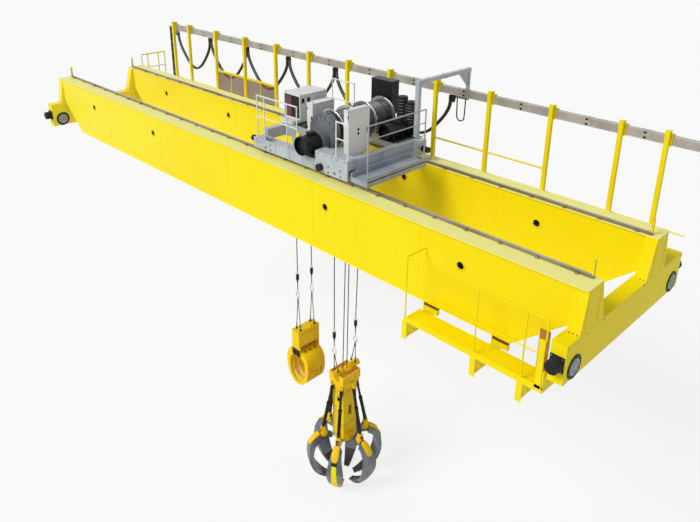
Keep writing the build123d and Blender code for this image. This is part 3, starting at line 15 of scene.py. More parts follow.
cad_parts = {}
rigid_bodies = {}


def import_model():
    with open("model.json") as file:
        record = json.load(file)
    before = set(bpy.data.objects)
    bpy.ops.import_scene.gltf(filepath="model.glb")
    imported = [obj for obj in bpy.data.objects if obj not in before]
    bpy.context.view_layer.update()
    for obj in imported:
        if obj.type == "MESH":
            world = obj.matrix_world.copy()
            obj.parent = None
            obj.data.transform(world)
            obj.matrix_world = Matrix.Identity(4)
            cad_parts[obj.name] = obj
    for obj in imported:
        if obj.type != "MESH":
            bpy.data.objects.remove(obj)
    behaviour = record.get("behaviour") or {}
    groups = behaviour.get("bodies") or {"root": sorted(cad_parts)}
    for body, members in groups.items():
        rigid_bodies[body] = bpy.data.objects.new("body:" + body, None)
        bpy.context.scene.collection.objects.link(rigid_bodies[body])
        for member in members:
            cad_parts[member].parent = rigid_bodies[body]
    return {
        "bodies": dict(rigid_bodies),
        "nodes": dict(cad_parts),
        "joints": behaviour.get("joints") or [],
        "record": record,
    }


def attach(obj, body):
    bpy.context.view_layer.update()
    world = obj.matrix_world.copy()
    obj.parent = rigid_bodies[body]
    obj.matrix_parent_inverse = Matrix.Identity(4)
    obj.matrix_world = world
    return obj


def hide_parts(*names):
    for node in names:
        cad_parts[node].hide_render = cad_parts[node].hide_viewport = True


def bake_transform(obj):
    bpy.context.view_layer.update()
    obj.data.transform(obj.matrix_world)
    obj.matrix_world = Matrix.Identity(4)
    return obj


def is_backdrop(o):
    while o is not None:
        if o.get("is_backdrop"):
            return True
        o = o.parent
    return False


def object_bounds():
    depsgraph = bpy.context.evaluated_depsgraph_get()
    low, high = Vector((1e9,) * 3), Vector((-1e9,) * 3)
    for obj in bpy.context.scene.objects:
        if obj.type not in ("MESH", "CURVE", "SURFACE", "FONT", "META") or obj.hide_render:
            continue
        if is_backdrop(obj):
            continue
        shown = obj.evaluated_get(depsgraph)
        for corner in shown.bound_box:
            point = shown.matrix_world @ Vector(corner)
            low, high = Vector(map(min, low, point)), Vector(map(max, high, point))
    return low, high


LOG = logging.getLogger("bridge_crane")
Point = Sequence[float]
MM = 0.001
SPAN = 15.06
TRACK_Y = 2.33


class Axis(Enum):
    """Row axis that a round or repeated piece lies along."""

    X = (1.0, 0.0, 0.0)
    Y = (0.0, 1.0, 0.0)
    Z = (0.0, 0.0, 1.0)


class Sock:
    """A shader socket with ordinary arithmetic."""

    def __init__(self, graph: "Graph", socket: bpy.types.NodeSocket) -> None:
        """Keep the socket and the graph that it belongs to."""
        self.graph = graph
        self.socket = socket

    def _math(self, kind: str, first: object, second: object) -> "Sock":
        """Return one math node on two values."""
        return self.graph.node("ShaderNodeMath", {"operation": kind}, {0: first, 1: second})

    def __add__(self, other: object) -> "Sock":
        """Return the sum."""
        return self._math("ADD", self, other)

    def __radd__(self, other: object) -> "Sock":
        """Return the sum with the sides swapped."""
        return self._math("ADD", other, self)

    def __sub__(self, other: object) -> "Sock":
        """Return the difference."""
        return self._math("SUBTRACT", self, other)

    def __rsub__(self, other: object) -> "Sock":
        """Return the difference with the sides swapped."""
        return self._math("SUBTRACT", other, self)

    def __mul__(self, other: object) -> "Sock":
        """Return the product."""
        return self._math("MULTIPLY", self, other)

    def __rmul__(self, other: object) -> "Sock":
        """Return the product with the sides swapped."""
        return self._math("MULTIPLY", other, self)

    def step(self, low: float, high: float) -> "Sock":
        """Return a smooth ramp from 0 at low to 1 at high."""
        return self.graph.node(
            "ShaderNodeMapRange",
            {"interpolation_type": "SMOOTHSTEP"},
            {"Value": self, "From Min": low, "From Max": high},
        )


class Graph:
    """Node tree of one material."""

    def __init__(self, name: str) -> None:
        """Start a material with its shader and its place on the object.

        Args:
            name: Name of the material.
        """
        self.material = bpy.data.materials.new(name)
        self.material.use_nodes = True
        self.tree = self.material.node_tree
        self.shader = self.tree.nodes["Principled BSDF"]
        self.place = self.node("ShaderNodeTexCoord", {}, {}, "Object")

    def node(self, kind: str, settings: dict[str, object], values: dict[object, object],
             output: object = 0) -> Sock:
        """Add one node.

        Args:
            kind: Blender's node type.
            settings: Properties set on the node.
            values: Socket values or links by socket name or number.
            output: Name or number of the output that is returned.

        Returns:
            The chosen output.
        """
        item = self.tree.nodes.new(kind)
        for key, value in settings.items():
            setattr(item, key, value)
        for key, value in values.items():
            target = item.inputs[key]
            if isinstance(value, Sock):
                self.tree.links.new(value.socket, target)
            else:
                target.default_value = value
        return Sock(self, item.outputs[output])

    def stretched(self, scale: Point) -> Sock:
        """Return the object's place stretched by three factors."""
        return self.node("ShaderNodeMapping", {}, {"Vector": self.place, "Scale": tuple(scale)})

    def noise(self, scale: float, detail: float = 3.0, stretch: Point = (1, 1, 1)) -> Sock:
        """Return a noise value from 0 to 1 over the object."""
        spot = self.stretched(stretch)
        return self.node("ShaderNodeTexNoise", {}, {"Vector": spot, "Scale": scale, "Detail": detail}, "Fac")

    def part(self, axis: Axis) -> Sock:
        """Return one coordinate of the object's place in metres."""
        return self.node("ShaderNodeSeparateXYZ", {}, {0: self.place}, list(Axis).index(axis))

    def mix(self, share: object, first: object, second: object) -> Sock:
        """Return a colour between two colours."""
        values = {"Factor": share, 6: first, 7: second}
        return self.node("ShaderNodeMix", {"data_type": "RGBA"}, values, 2)

    def feed(self, name: str, value: object) -> None:
        """Set or link one input of the shader."""
        if isinstance(value, Sock):
            self.tree.links.new(value.socket, self.shader.inputs[name])
        else:
            self.shader.inputs[name].default_value = value

    def bump(self, height: Sock, strength: float, distance: float) -> Sock:
        """Return a bumped normal."""
        values = {"Height": height, "Strength": strength, "Distance": distance}
        return self.node("ShaderNodeBump", {}, values)


def rgba(red: float, green: float, blue: float) -> tuple[float, float, float, float]:
    """Return a colour with full cover."""
    return (red, green, blue, 1.0)


@dataclass(frozen=True)
class Finish:
    """A painted, cast or rubber surface with its wear.

    The tint varies over the broad noise, the grime runs down in streaks and the chips are small bare spots. The left
    highlight makes the paint paler towards the low-X end, as painted light.
    Each zone is a belt of another colour between two heights in metres; the pale belt on the girders is a painted
    highlight.
    """

    name: str
    colour: tuple[float, float, float]
    tint: tuple[float, float, float]
    grime: tuple[float, float, float] = (0.10, 0.07, 0.03)
    roughness: float = 0.35
    metallic: float = 0.0
    coat: float = 0.0
    specular: float = 0.5
    broad: float = 0.7
    streaks: float = 0.12
    chips: float = 0.0
    grain: Point = (1.0, 1.0, 1.0)
    grain_scale: float = 40.0
    relief: float = 0.12
    relief_depth: float = 0.002
    left_highlight: float = 0.0
    alpha: float = 1.0
    zones: tuple[tuple[float, float, tuple[float, float, float]], ...] = ()

    def build(self) -> bpy.types.Material:
        """Make the material.

        Returns:
            The finished material.
        """
        graph = Graph(self.name)
        broad = graph.noise(self.broad, 4.0).step(0.35, 0.65)
        colour = graph.mix(broad, rgba(*self.colour), rgba(*self.tint))
        # Painted highlight: the colour is mixed towards pale yellow towards the low-X end.
        if self.left_highlight:
            share = graph.part(Axis.X).step(9.0, -1.0) * self.left_highlight
            colour = graph.mix(share, colour, rgba(1.0, 0.90, 0.20))
        metal: Sock | float = self.metallic
        for low, high, paint in self.zones:
            height = graph.part(Axis.Z) + (graph.noise(14.0, 4.0) - 0.5) * 0.012
            share = height.step(low - 0.002, low + 0.002) * (1.0 - height.step(high - 0.002, high + 0.002))
            colour = graph.mix(share, colour, rgba(*paint))
            metal = metal * (1.0 - share)
        runs = graph.noise(5.0, 5.0, (3.0, 3.0, 0.22)).step(0.56, 0.78)
        cloud = graph.noise(1.6, 3.0).step(0.40, 0.70)
        dirt = runs * cloud * self.streaks
        colour = graph.mix(dirt, colour, rgba(*self.grime))
        fine = graph.noise(self.grain_scale, 4.0, self.grain)
        rough = self.roughness + (fine - 0.5) * 0.16 + dirt * 0.5
        if self.chips:
            spots = graph.noise(26.0, 6.0).step(0.70, 0.735) * graph.noise(2.4, 2.0).step(0.52, 0.60) * self.chips
            colour = graph.mix(spots, colour, rgba(0.16, 0.13, 0.10))
            rough = rough + spots * 0.35
        graph.feed("Base Color", colour)
        graph.feed("Roughness", rough)
        graph.feed("Metallic", metal)
        graph.feed("Specular IOR Level", self.specular)
        graph.feed("Coat Weight", self.coat)
        graph.feed("Coat Roughness", 0.12)
        graph.feed("Alpha", self.alpha)
        graph.feed("Normal", graph.bump(fine, self.relief, self.relief_depth))
        return graph.material


# YELLOW carries a painted highlight that makes its left end paler.
YELLOW = Finish("yellow_paint", (0.94, 0.75, 0.002), (0.95, 0.80, 0.003), roughness=0.45, specular=0.12, broad=0.35,
                streaks=0.10, chips=0.5, left_highlight=0.22, relief=0.05)
# The pale belt along the top flanges of the girders is a painted highlight: the tops are painted lighter where the
# light falls on them.
GIRDER_TOP_HIGHLIGHT = replace(YELLOW, name="girder_paint_top_highlight", zones=((1.216, 1.234, (0.97, 0.93, 0.30)),))
GRAB_YELLOW = Finish("grab_yellow_paint", (0.94, 0.66, 0.003), (0.91, 0.55, 0.003), roughness=0.45, specular=0.15,
                     broad=2.0, streaks=0.30, chips=1.0, relief=0.10)
PRIMER = Finish("orange_primer", (0.60, 0.20, 0.012), (0.46, 0.13, 0.010), roughness=0.5, broad=4.0, streaks=0.5)
CRAB_GREY = Finish("crab_grey_paint", (0.52, 0.56, 0.60), (0.44, 0.48, 0.52), (0.05, 0.05, 0.05), 0.42, coat=0.05,
                   broad=1.8, streaks=0.4, chips=0.6)
DECK_GREY = Finish("deck_grey_paint", (0.38, 0.42, 0.48), (0.31, 0.35, 0.40), (0.05, 0.05, 0.05), 0.5,
                   broad=2.4, streaks=0.5, chips=0.8)
WHITE_COAT = Finish("cabinet_powder_coat", (0.80, 0.80, 0.79), (0.74, 0.74, 0.73), (0.12, 0.11, 0.10), 0.45,
                    broad=2.0, streaks=0.25, grain_scale=160.0, relief=0.10, relief_depth=0.0008)
MAROON = Finish("maroon_panel", (0.14, 0.010, 0.018), (0.09, 0.008, 0.012), roughness=0.3, coat=0.3, streaks=0.2)
BLACK = Finish("black_paint", (0.008, 0.008, 0.009), (0.014, 0.014, 0.015), (0.05, 0.045, 0.04), 0.40, specular=0.22,
               broad=3.0, streaks=0.3, chips=0.5)
RUBBER = Finish("black_rubber", (0.009, 0.009, 0.009), (0.017, 0.016, 0.015), (0.06, 0.055, 0.05), 0.62, specular=0.25,
                broad=4.0, streaks=0.3, relief=0.25)
CABLE = Finish("cable_sheath", (0.010, 0.011, 0.013), (0.020, 0.021, 0.024), (0.06, 0.06, 0.06), 0.5, specular=0.3,
               broad=3.0, streaks=0.2)
CABLE_GREY = Finish("grey_cable_sheath", (0.10, 0.105, 0.115), (0.15, 0.155, 0.165), (0.05, 0.05, 0.05), 0.5,
                    broad=3.0, streaks=0.2)
RAIL = Finish("rolled_rail", (0.33, 0.28, 0.20), (0.23, 0.19, 0.13), (0.10, 0.05, 0.02), 0.42, 0.5,
              broad=1.2, streaks=0.6, grain=(0.06, 1.0, 1.0), grain_scale=60.0, relief=0.2)
RAIL_TOP = Finish("run_rail_head", (0.46, 0.43, 0.39), (0.36, 0.33, 0.29), (0.10, 0.06, 0.03), 0.26, 0.9,
                  broad=1.2, streaks=0.3, grain=(0.05, 1.0, 1.0), grain_scale=90.0, relief=0.1)
WHEEL = Finish("turned_steel", (0.34, 0.35, 0.36), (0.26, 0.27, 0.28), (0.06, 0.04, 0.02), 0.36, 0.8,
               broad=3.0, streaks=0.5, relief=0.15)
BRIGHT = Finish("bright_steel", (0.62, 0.63, 0.64), (0.50, 0.51, 0.52), (0.10, 0.08, 0.05), 0.28, 0.9,
                broad=4.0, streaks=0.3)
BOLT = Finish("zinc_bolt", (0.42, 0.41, 0.38), (0.30, 0.28, 0.25), (0.10, 0.06, 0.03), 0.4, 0.85,
              broad=6.0, streaks=0.5)
TRACK = Finish("galvanised_track", (0.50, 0.48, 0.46), (0.40, 0.385, 0.37), (0.16, 0.13, 0.10), 0.46, 0.45,
               broad=2.2, streaks=0.5, grain=(0.1, 1.0, 1.0), grain_scale=50.0)
DRUM = Finish("drum_steel", (0.085, 0.09, 0.098), (0.055, 0.058, 0.062), (0.02, 0.018, 0.015), 0.38, 0.55,
              broad=3.0, streaks=0.5, relief=0.15)
CASE = Finish("gear_case_paint", (0.16, 0.17, 0.18), (0.12, 0.13, 0.14), (0.03, 0.03, 0.03), 0.42, coat=0.1,
              broad=2.5, streaks=0.5, chips=0.7)
ROPE = Finish("greased_wire", (0.085, 0.083, 0.08), (0.14, 0.135, 0.13), (0.03, 0.025, 0.02), 0.45, 0.7,
              broad=6.0, streaks=0.4)
TINE = Finish("worn_cast_steel", (0.22, 0.225, 0.235), (0.10, 0.105, 0.115), (0.03, 0.03, 0.03), 0.34, 0.45,
              broad=2.6, streaks=0.7, chips=0.6, relief=0.25, relief_depth=0.003,
              zones=((-6.60, -6.16, (0.022, 0.022, 0.024)),))
PANEL = Finish("tinted_panel", (0.20, 0.115, 0.065), (0.26, 0.16, 0.10), (0.10, 0.07, 0.05), 0.22, coat=0.4,
               broad=1.2, streaks=0.3, alpha=0.62)
# Dark brown standing for yellow parts in shade: painted shade on the platform hangers and behind the grab trunk
# windows.
SHADE_BROWN = Finish("brown_painted_shade", (0.16, 0.07, 0.012), (0.11, 0.045, 0.008), roughness=0.55, streaks=0.4, broad=3.0)
# Amber standing for a yellow face in shade: painted shade on the platform leg.
SHADE_AMBER = Finish("amber_painted_shade", (0.48, 0.25, 0.012), (0.38, 0.17, 0.010), roughness=0.5, streaks=0.4, broad=4.0)


class Shape:
    """A mesh piece put together from plain operators."""

    def __init__(self) -> None:
        """Start with nothing."""
        self.mesh = bmesh.new()

    def _new(self, verts: Iterable[bmesh.types.BMVert], bevel: float, segments: int) -> None:
        """Round the edges of the newest form."""
        if bevel <= 0:
            return
        edges = list({edge for vert in verts for edge in vert.link_edges})
        bmesh.ops.bevel(self.mesh, geom=edges, offset=bevel, segments=segments, profile=0.5,
                        affect="EDGES", material=-1, clamp_overlap=True)

    def block(self, low: Point, high: Point, bevel: float = 0.0, segments: int = 1) -> "Shape":
        """Add a block between two corners."""
        size = [abs(b - a) for a, b in zip(low, high)]
        middle = [(a + b) / 2 for a, b in zip(low, high)]
        place = Matrix.Translation(middle) @ Matrix.Diagonal((*size, 1.0))
        made = bmesh.ops.create_cube(self.mesh, size=1.0, matrix=place)
        self._new(made["verts"], bevel, segments)
        return self

    def turned(self, low: Point, high: Point, centre: Point, turn: Matrix, bevel: float = 0.0) -> "Shape":
        """Add a block drawn round its own origin and then turned and placed."""
        size = [abs(b - a) for a, b in zip(low, high)]
        middle = [(a + b) / 2 for a, b in zip(low, high)]
        place = Matrix.Translation(centre) @ turn.to_4x4() @ Matrix.Translation(middle) @ Matrix.Diagonal((*size, 1.0))
        made = bmesh.ops.create_cube(self.mesh, size=1.0, matrix=place)
        self._new(made["verts"], bevel, 1)
        return self

    def bar(self, start: Point, end: Point, radius: float, far: float | None = None,
            sides: int = 16, bevel: float = 0.0) -> "Shape":
        """Add a round bar or cone between two points."""
        a = Vector(start)
        b = Vector(end)
        turn = (b - a).to_track_quat("Z", "Y").to_matrix().to_4x4()
        place = Matrix.Translation((a + b) / 2) @ turn
        made = bmesh.ops.create_cone(self.mesh, cap_ends=True, segments=sides, radius1=radius,
                                     radius2=radius if far is None else far, depth=(b - a).length, matrix=place)
        if bevel > 0:
            rims = [e for e in {x for v in made["verts"] for x in v.link_edges}
                    if any(len(f.verts) > 4 for f in e.link_faces)]
            bmesh.ops.bevel(self.mesh, geom=rims, offset=bevel, segments=2, profile=0.5,
                            affect="EDGES", material=-1, clamp_overlap=True)
        return self

    def ball(self, centre: Point, radius: float, sides: int = 12) -> "Shape":
        """Add a ball."""
        bmesh.ops.create_uvsphere(self.mesh, u_segments=sides, v_segments=max(6, sides // 2), radius=radius,
                                  matrix=Matrix.Translation(centre))
        return self

    def revolve(self, outline: Sequence[tuple[float, float]], start: Point, axis: Point,
                sides: int = 32, closed: bool = False) -> "Shape":
        """Turn an outline about an axis.

        Args:
            outline: Pairs of distance along the axis and radius.
            start: Point on the axis where the distance is zero.
            axis: Direction of the axis.
            sides: Number of steps round the axis.
            closed: Whether the last point joins the first.

        Returns:
            This shape.
        """
        way = Vector(axis).normalized()
        side = way.orthogonal().normalized()
        verts = [self.mesh.verts.new(Vector(start) + way * along + side * radius) for along, radius in outline]
        pairs = list(zip(verts, verts[1:]))
        if closed:
            pairs.append((verts[-1], verts[0]))
        edges = [self.mesh.edges.new(pair) for pair in pairs]
        bmesh.ops.spin(self.mesh, geom=verts + edges, cent=Vector(start), axis=way, angle=math.tau,
                       steps=sides, use_merge=True, use_duplicate=False)
        return self

    def ring(self, centre: Point, axis: Point, radius: float, thick: float, sides: int = 28,
             round_sides: int = 10) -> "Shape":
        """Add a round ring."""
        outline = [(thick * math.sin(math.tau * i / round_sides), radius + thick * math.cos(math.tau * i / round_sides))
                   for i in range(round_sides)]
        return self.revolve(outline, centre, axis, sides, closed=True)

    def sweep(self, path: Sequence[tuple[float, float]], section: Sequence[tuple[float, float]],
              widths: Sequence[float], out: float = 1.0) -> "Shape":
        """Draw a closed section along a path that lies in the plane across Y.

        Args:
            path: Points of the path as X and Z.
            section: Closed outline as share of the half width and height above the path.
            widths: Half width at each point of the path.
            out: Plus or minus one, the side that the heights face.

        Returns:
            This shape.
        """
        rows = []
        for i, (x, z) in enumerate(path):
            before = Vector(path[max(i - 1, 0)])
            after = Vector(path[min(i + 1, len(path) - 1)])
            way = (after - before).normalized()
            normal = Vector((-way.y, 0.0, way.x)) * out
            rows.append([Vector((x, share * widths[i], z)) + normal * high for share, high in section])
        first = [self.mesh.verts.new(spot) for spot in rows[0]]
        rims = [self.mesh.edges.new((a, b)) for a, b in zip(first, first[1:] + first[:1])]
        self.mesh.faces.new(first)
        edges = rims
        order = first
        for row in rows[1:]:
            grown = bmesh.ops.extrude_edge_only(self.mesh, edges=edges)["geom"]
            verts = [item for item in grown if isinstance(item, bmesh.types.BMVert)]
            edges = [item for item in grown if isinstance(item, bmesh.types.BMEdge)]
            fresh = []
            for old in order:
                fresh.append(min(verts, key=lambda vert: (vert.co - old.co).length))
            for vert, spot in zip(fresh, row):
                vert.co = spot
            order = fresh
        bmesh.ops.holes_fill(self.mesh, edges=edges, sides=0)
        return self

    def move(self, place: Matrix) -> "Shape":
        """Move everything made so far."""
        bmesh.ops.transform(self.mesh, matrix=place, verts=self.mesh.verts)
        return self

    def bolt(self, centre: Point, axis: Point, radius: float = 0.012, height: float = 0.010) -> "Shape":
        """Add a hexagon head on a washer."""
        way = Vector(axis).normalized()
        foot = Vector(centre)
        self.bar(foot, foot + way * height * 0.25, radius * 1.35, sides=16)
        self.bar(foot + way * height * 0.2, foot + way * height, radius, sides=6)
        return self.bar(foot + way * height * 0.9, foot + way * height * 1.5, radius * 0.5, sides=10)

    def bolt_circle(self, centre: Point, axis: Axis, pitch: float, count: int, out: float,
                    radius: float = 0.010, height: float = 0.009) -> "Shape":
        """Add a circle of bolts that face along an axis.

        Args:
            centre: Middle of the circle on the seat face.
            axis: Axis that the bolts lie along.
            pitch: Radius of the circle.
            count: Number of bolts.
            out: Plus or minus one, the way the heads face.
            radius: Half width of a head.
            height: Height of a head.

        Returns:
            This shape.
        """
        way = Vector(axis.value)
        first = way.orthogonal().normalized()
        other = way.cross(first)
        for i in range(count):
            angle = math.tau * (i + 0.5) / count
            spot = Vector(centre) + first * pitch * math.cos(angle) + other * pitch * math.sin(angle)
            self.bolt(spot, way * out, radius, height)
        return self

    def finish(self, name: str, finish: bpy.types.Material, body: str, slot: str,
               smooth: bool = True) -> bpy.types.Object:
        """Close the piece and put it on its body.

        Args:
            name: Name of the piece.
            finish: Its material.
            body: Body that carries it.
            slot: Material slot of the record; not used.
            smooth: Whether faces are shaded smooth up to a sharp edge.

        Returns:
            The new object.
        """
        bmesh.ops.remove_doubles(self.mesh, verts=self.mesh.verts, dist=1e-6)
        bmesh.ops.recalc_face_normals(self.mesh, faces=self.mesh.faces)
        data = bpy.data.meshes.new(name)
        self.mesh.to_mesh(data)
        self.mesh.free()
        data.materials.append(finish)
        piece = bpy.data.objects.new(name, data)
        bpy.context.scene.collection.objects.link(piece)
        if smooth:
            data.shade_smooth()
            data.set_sharp_from_angle(angle=math.radians(32))
        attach(piece, body)
        LOG.info("%s: %d faces on %s", name, len(data.polygons), body)
        return piece


@dataclass
class Paintbox:
    """All finishes, made once and handed out by name."""

    made: dict[str, bpy.types.Material] = field(default_factory=dict)

    def get(self, finish: Finish) -> bpy.types.Material:
        """Return the material of a finish."""
        if finish.name not in self.made:
            self.made[finish.name] = finish.build()
        return self.made[finish.name]

    def coat(self, frame: dict, finish: Finish, *nodes: str) -> None:
        """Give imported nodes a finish."""
        for name in nodes:
            node = frame["nodes"][name]
            for index in range(len(node.material_slots)):
                node.material_slots[index].material = self.get(finish)
            node.data.shade_smooth()
            node.data.set_sharp_from_angle(angle=math.radians(32))


@dataclass
class Stage:
    """Camera, floor, backdrop and lights."""

    eye: tuple[float, float, float] = (18.28668, -8.54446, 5.62459)
    ahead: tuple[float, float, float] = (-0.65663, 0.65876, -0.36724)
    roll: float = 0.00959
    lens: float = 35.456
    shift: float = -0.12

    def camera(self) -> None:
        """Place the camera where the photograph was taken from."""
        data = bpy.data.cameras.new("photo_camera")
        data.sensor_width = 36.0
        data.lens = self.lens
        data.shift_y = self.shift
        data.clip_end = 400.0
        ahead = Vector(self.ahead).normalized()
        right = ahead.cross(Vector(Axis.Z.value)).normalized()
        up = right.cross(ahead)
        side = right * math.cos(self.roll) + up * math.sin(self.roll)
        top = up * math.cos(self.roll) - right * math.sin(self.roll)
        turn = Matrix((side, top, -ahead)).transposed().to_4x4()
        camera = bpy.data.objects.new("photo_camera", data)
        camera.matrix_world = Matrix.Translation(self.eye) @ turn
        bpy.context.scene.collection.objects.link(camera)
        bpy.context.scene.camera = camera
        bpy.context.scene.view_settings.view_transform = "Standard"

    def seen(self, tree: bpy.types.NodeTree) -> bpy.types.NodeSocket:
        """Return a socket that is 1 for rays that look at the backdrop."""
        ray = tree.nodes.new("ShaderNodeLightPath")
        seen = ray.outputs["Is Camera Ray"]
        for kind in ("Is Glossy Ray", "Is Transmission Ray"):
            either = tree.nodes.new("ShaderNodeMath")
            either.operation = "MAXIMUM"
            tree.links.new(seen, either.inputs[0])
            tree.links.new(ray.outputs[kind], either.inputs[1])
            seen = either.outputs[0]
        return seen

    def floor(self, height: float) -> None:
        """Lay the pale floor under the lowest point."""
        mesh = bmesh.new()
        bmesh.ops.create_grid(mesh, x_segments=1, y_segments=1, size=180.0,
                              matrix=Matrix.Translation((SPAN / 2, 0.0, height)))
        data = bpy.data.meshes.new("studio_floor")
        mesh.to_mesh(data)
        mesh.free()
        graph = Graph("studio_floor")
        graph.feed("Base Color", rgba(0.92, 0.92, 0.92))
        graph.feed("Roughness", 0.9)
        graph.feed("Specular IOR Level", 0.1)
        nodes = graph.tree.nodes
        links = graph.tree.links
        glow = nodes.new("ShaderNodeEmission")
        glow.inputs["Strength"].default_value = 1.0
        share = nodes.new("ShaderNodeMath")
        share.operation = "MULTIPLY"
        share.inputs[1].default_value = 0.78
        links.new(self.seen(graph.tree), share.inputs[0])
        join = nodes.new("ShaderNodeMixShader")
        links.new(share.outputs[0], join.inputs["Fac"])
        links.new(graph.shader.outputs["BSDF"], join.inputs[1])
        links.new(glow.outputs["Emission"], join.inputs[2])
        links.new(join.outputs["Shader"], nodes["Material Output"].inputs["Surface"])
        data.materials.append(graph.material)
        floor = bpy.data.objects.new("studio_floor", data)
        bpy.context.scene.collection.objects.link(floor)
        floor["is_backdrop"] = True

    def world(self) -> None:
        """Set a soft white surround that the camera sees as plain white."""
        world = bpy.data.worlds.new("studio_world")
        world.use_nodes = True
        bpy.context.scene.world = world
        nodes = world.node_tree.nodes
        links = world.node_tree.links
        soft = nodes["Background"]
        soft.inputs["Color"].default_value = rgba(0.93, 0.95, 1.0)
        soft.inputs["Strength"].default_value = 0.42
        plain = nodes.new("ShaderNodeBackground")
        plain.inputs["Color"].default_value = rgba(1.0, 1.0, 1.0)
        plain.inputs["Strength"].default_value = 1.0
        join = nodes.new("ShaderNodeMixShader")
        links.new(self.seen(world.node_tree), join.inputs["Fac"])
        links.new(soft.outputs["Background"], join.inputs[1])
        links.new(plain.outputs["Background"], join.inputs[2])
        links.new(join.outputs["Shader"], nodes["World Output"].inputs["Surface"])

    def sun(self, name: str, way: Point, power: float, spread: float, colour: tuple[float, float, float]) -> None:
        """Add one soft sun that shines along a direction."""
        data = bpy.data.lights.new(name, "SUN")
        data.energy = power
        data.angle = math.radians(spread)
        data.color = colour
        lamp = bpy.data.objects.new(name, data)
        lamp.rotation_mode = "QUATERNION"
        lamp.rotation_quaternion = Vector(way).to_track_quat("-Z", "Y")
        bpy.context.scene.collection.objects.link(lamp)

    def build(self, height: float) -> None:
        """Make everything that is not the crane."""
        self.floor(height)
        self.world()
        self.sun("key_sun", (0.20, 0.72, -0.66), 2.0, 24.0, (1.0, 0.985, 0.96))


@dataclass
class TrailingCables:
    """Hanging cable loops between the carriers, and the narrow loop at the tow arm."""

    paint: Paintbox
    first: float = 0.22
    pitch: float = 1.68
    inset: float = 0.038
    top: float = 2.0447
    sag: float = 0.88
    width: float = 0.064
    shares: tuple[float, ...] = (0.0, 0.0, 0.06, 0.165, 0.275, 0.385, 0.5, 0.615, 0.725, 0.835, 0.94, 1.0, 1.0)
    drops: tuple[float, ...] = (0.0, 0.14, 0.37, 0.615, 0.83, 0.965, 1.02, 0.965, 0.83, 0.615, 0.37, 0.14, 0.0)
    length: float = 2.48
    tow_side: tuple[tuple[float, float], ...] = ((0.0, 0.0), (0.002, 0.150), (0.006, 0.300), (0.0105, 0.396),
                                                 (0.0345, 0.4376), (0.0761, 0.4616))

    def spline(self, name: str, points: Sequence[Point]) -> bpy.types.Object:
        """Return a smooth open curve on the points of a route."""
        data = bpy.data.curves.new(name, "CURVE")
        data.dimensions = "3D"
        line = data.splines.new("NURBS")
        line.points.add(len(points) - 1)
        for spot, point in zip(line.points, points):
            spot.co = (*point, 1.0)
        line.order_u = 3
        line.use_endpoint_u = True
        line.resolution_u = 8
        piece = bpy.data.objects.new(name, data)
        bpy.context.scene.collection.objects.link(piece)
        return piece

    def centreline(self, points: Sequence[Point]) -> list[Vector]:
        """Return the points that lie along the smooth curve of a route."""
        curve = self.spline("route", points)
        bpy.context.view_layer.update()
        flat = bpy.data.meshes.new_from_object(curve)
        path = [vert.co.copy() for vert in flat.vertices]
        bpy.data.objects.remove(curve)
        bpy.data.meshes.remove(flat)
        return path

    def loop(self, number: int) -> None:
        """Make one hanging loop of four sheathed cables in a bundle."""
        start = self.first + number * self.pitch + self.inset
        span = self.pitch - 2 * self.inset
        points = [(start + span * s, TRACK_Y, self.top - self.sag * d) for s, d in zip(self.shares, self.drops)]
        path = self.centreline(points)
        shape = Shape()
        radius = self.width / 4
        for lane, lift, index in ((-1, -1, 0), (1, -1, 1), (-1, 1, 1), (1, 1, 0)):
            self._tube(shape.mesh, path, (lane * radius, lift * radius), radius * 0.97, index)
        bmesh.ops.recalc_face_normals(shape.mesh, faces=shape.mesh.faces)
        name = f"trailing_cables_{number + 1}"
        data = bpy.data.meshes.new(name)
        shape.mesh.to_mesh(data)
        shape.mesh.free()
        data.materials.append(self.paint.get(CABLE))
        data.materials.append(self.paint.get(CABLE_GREY))
        data.shade_smooth()
        piece = bpy.data.objects.new(name, data)
        bpy.context.scene.collection.objects.link(piece)
        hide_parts(f"cable_loop_{number + 1}")
        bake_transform(piece)
        LOG.info("%s: %d points", name, len(path))

    def _tube(self, mesh: bmesh.types.BMesh, path: list[Vector], offset: tuple[float, float], radius: float,
              index: int) -> None:
        """Draw one round tube along a path by extruding a circle from point to point."""
        frames = []
        for i, spot in enumerate(path):
            way = (path[min(i + 1, len(path) - 1)] - path[max(i - 1, 0)]).normalized()
            across = Vector(Axis.Y.value)
            turn = Matrix((across, way.cross(across), way)).transposed().to_4x4()
            frames.append(Matrix.Translation(spot) @ turn @ Matrix.Translation((*offset, 0.0)))
        made = bmesh.ops.create_circle(mesh, cap_ends=False, segments=8, radius=radius, matrix=frames[0])
        edges = list({edge for vert in made["verts"] for edge in vert.link_edges})
        ends = [list(edges)]
        for before, after in zip(frames, frames[1:]):
            grown = bmesh.ops.extrude_edge_only(mesh, edges=edges)["geom"]
            verts = [item for item in grown if isinstance(item, bmesh.types.BMVert)]
            edges = [item for item in grown if isinstance(item, bmesh.types.BMEdge)]
            bmesh.ops.transform(mesh, matrix=after @ before.inverted(), verts=verts)
            for face in (item for item in grown if isinstance(item, bmesh.types.BMFace)):
                face.material_index = index
        ends.append(edges)
        for rim in ends:
            bmesh.ops.holes_fill(mesh, edges=rim, sides=0)

    def tow_loop(self) -> None:
        """Make the narrow loop between the last carrier and the tow arm."""
        x0, x1 = 10.33, 10.53
        y, top = 2.46, 2.0597
        left = [(x0 + dx, y, top - dz) for dx, dz in self.tow_side]
        right = [(x0 + x1 - px, py, pz) for px, py, pz in reversed(left)]
        piece = self.spline("tow_cable", left + right)
        piece.data.bevel_depth = 0.013
        piece.data.bevel_resolution = 3
        piece.data.use_fill_caps = True
        piece.data.materials.append(self.paint.get(CABLE))
        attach(piece, "crab")
        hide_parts("tow_loop")

    def build(self) -> None:
        """Make all cords."""
        for number in range(6):
            self.loop(number)
        self.tow_loop()


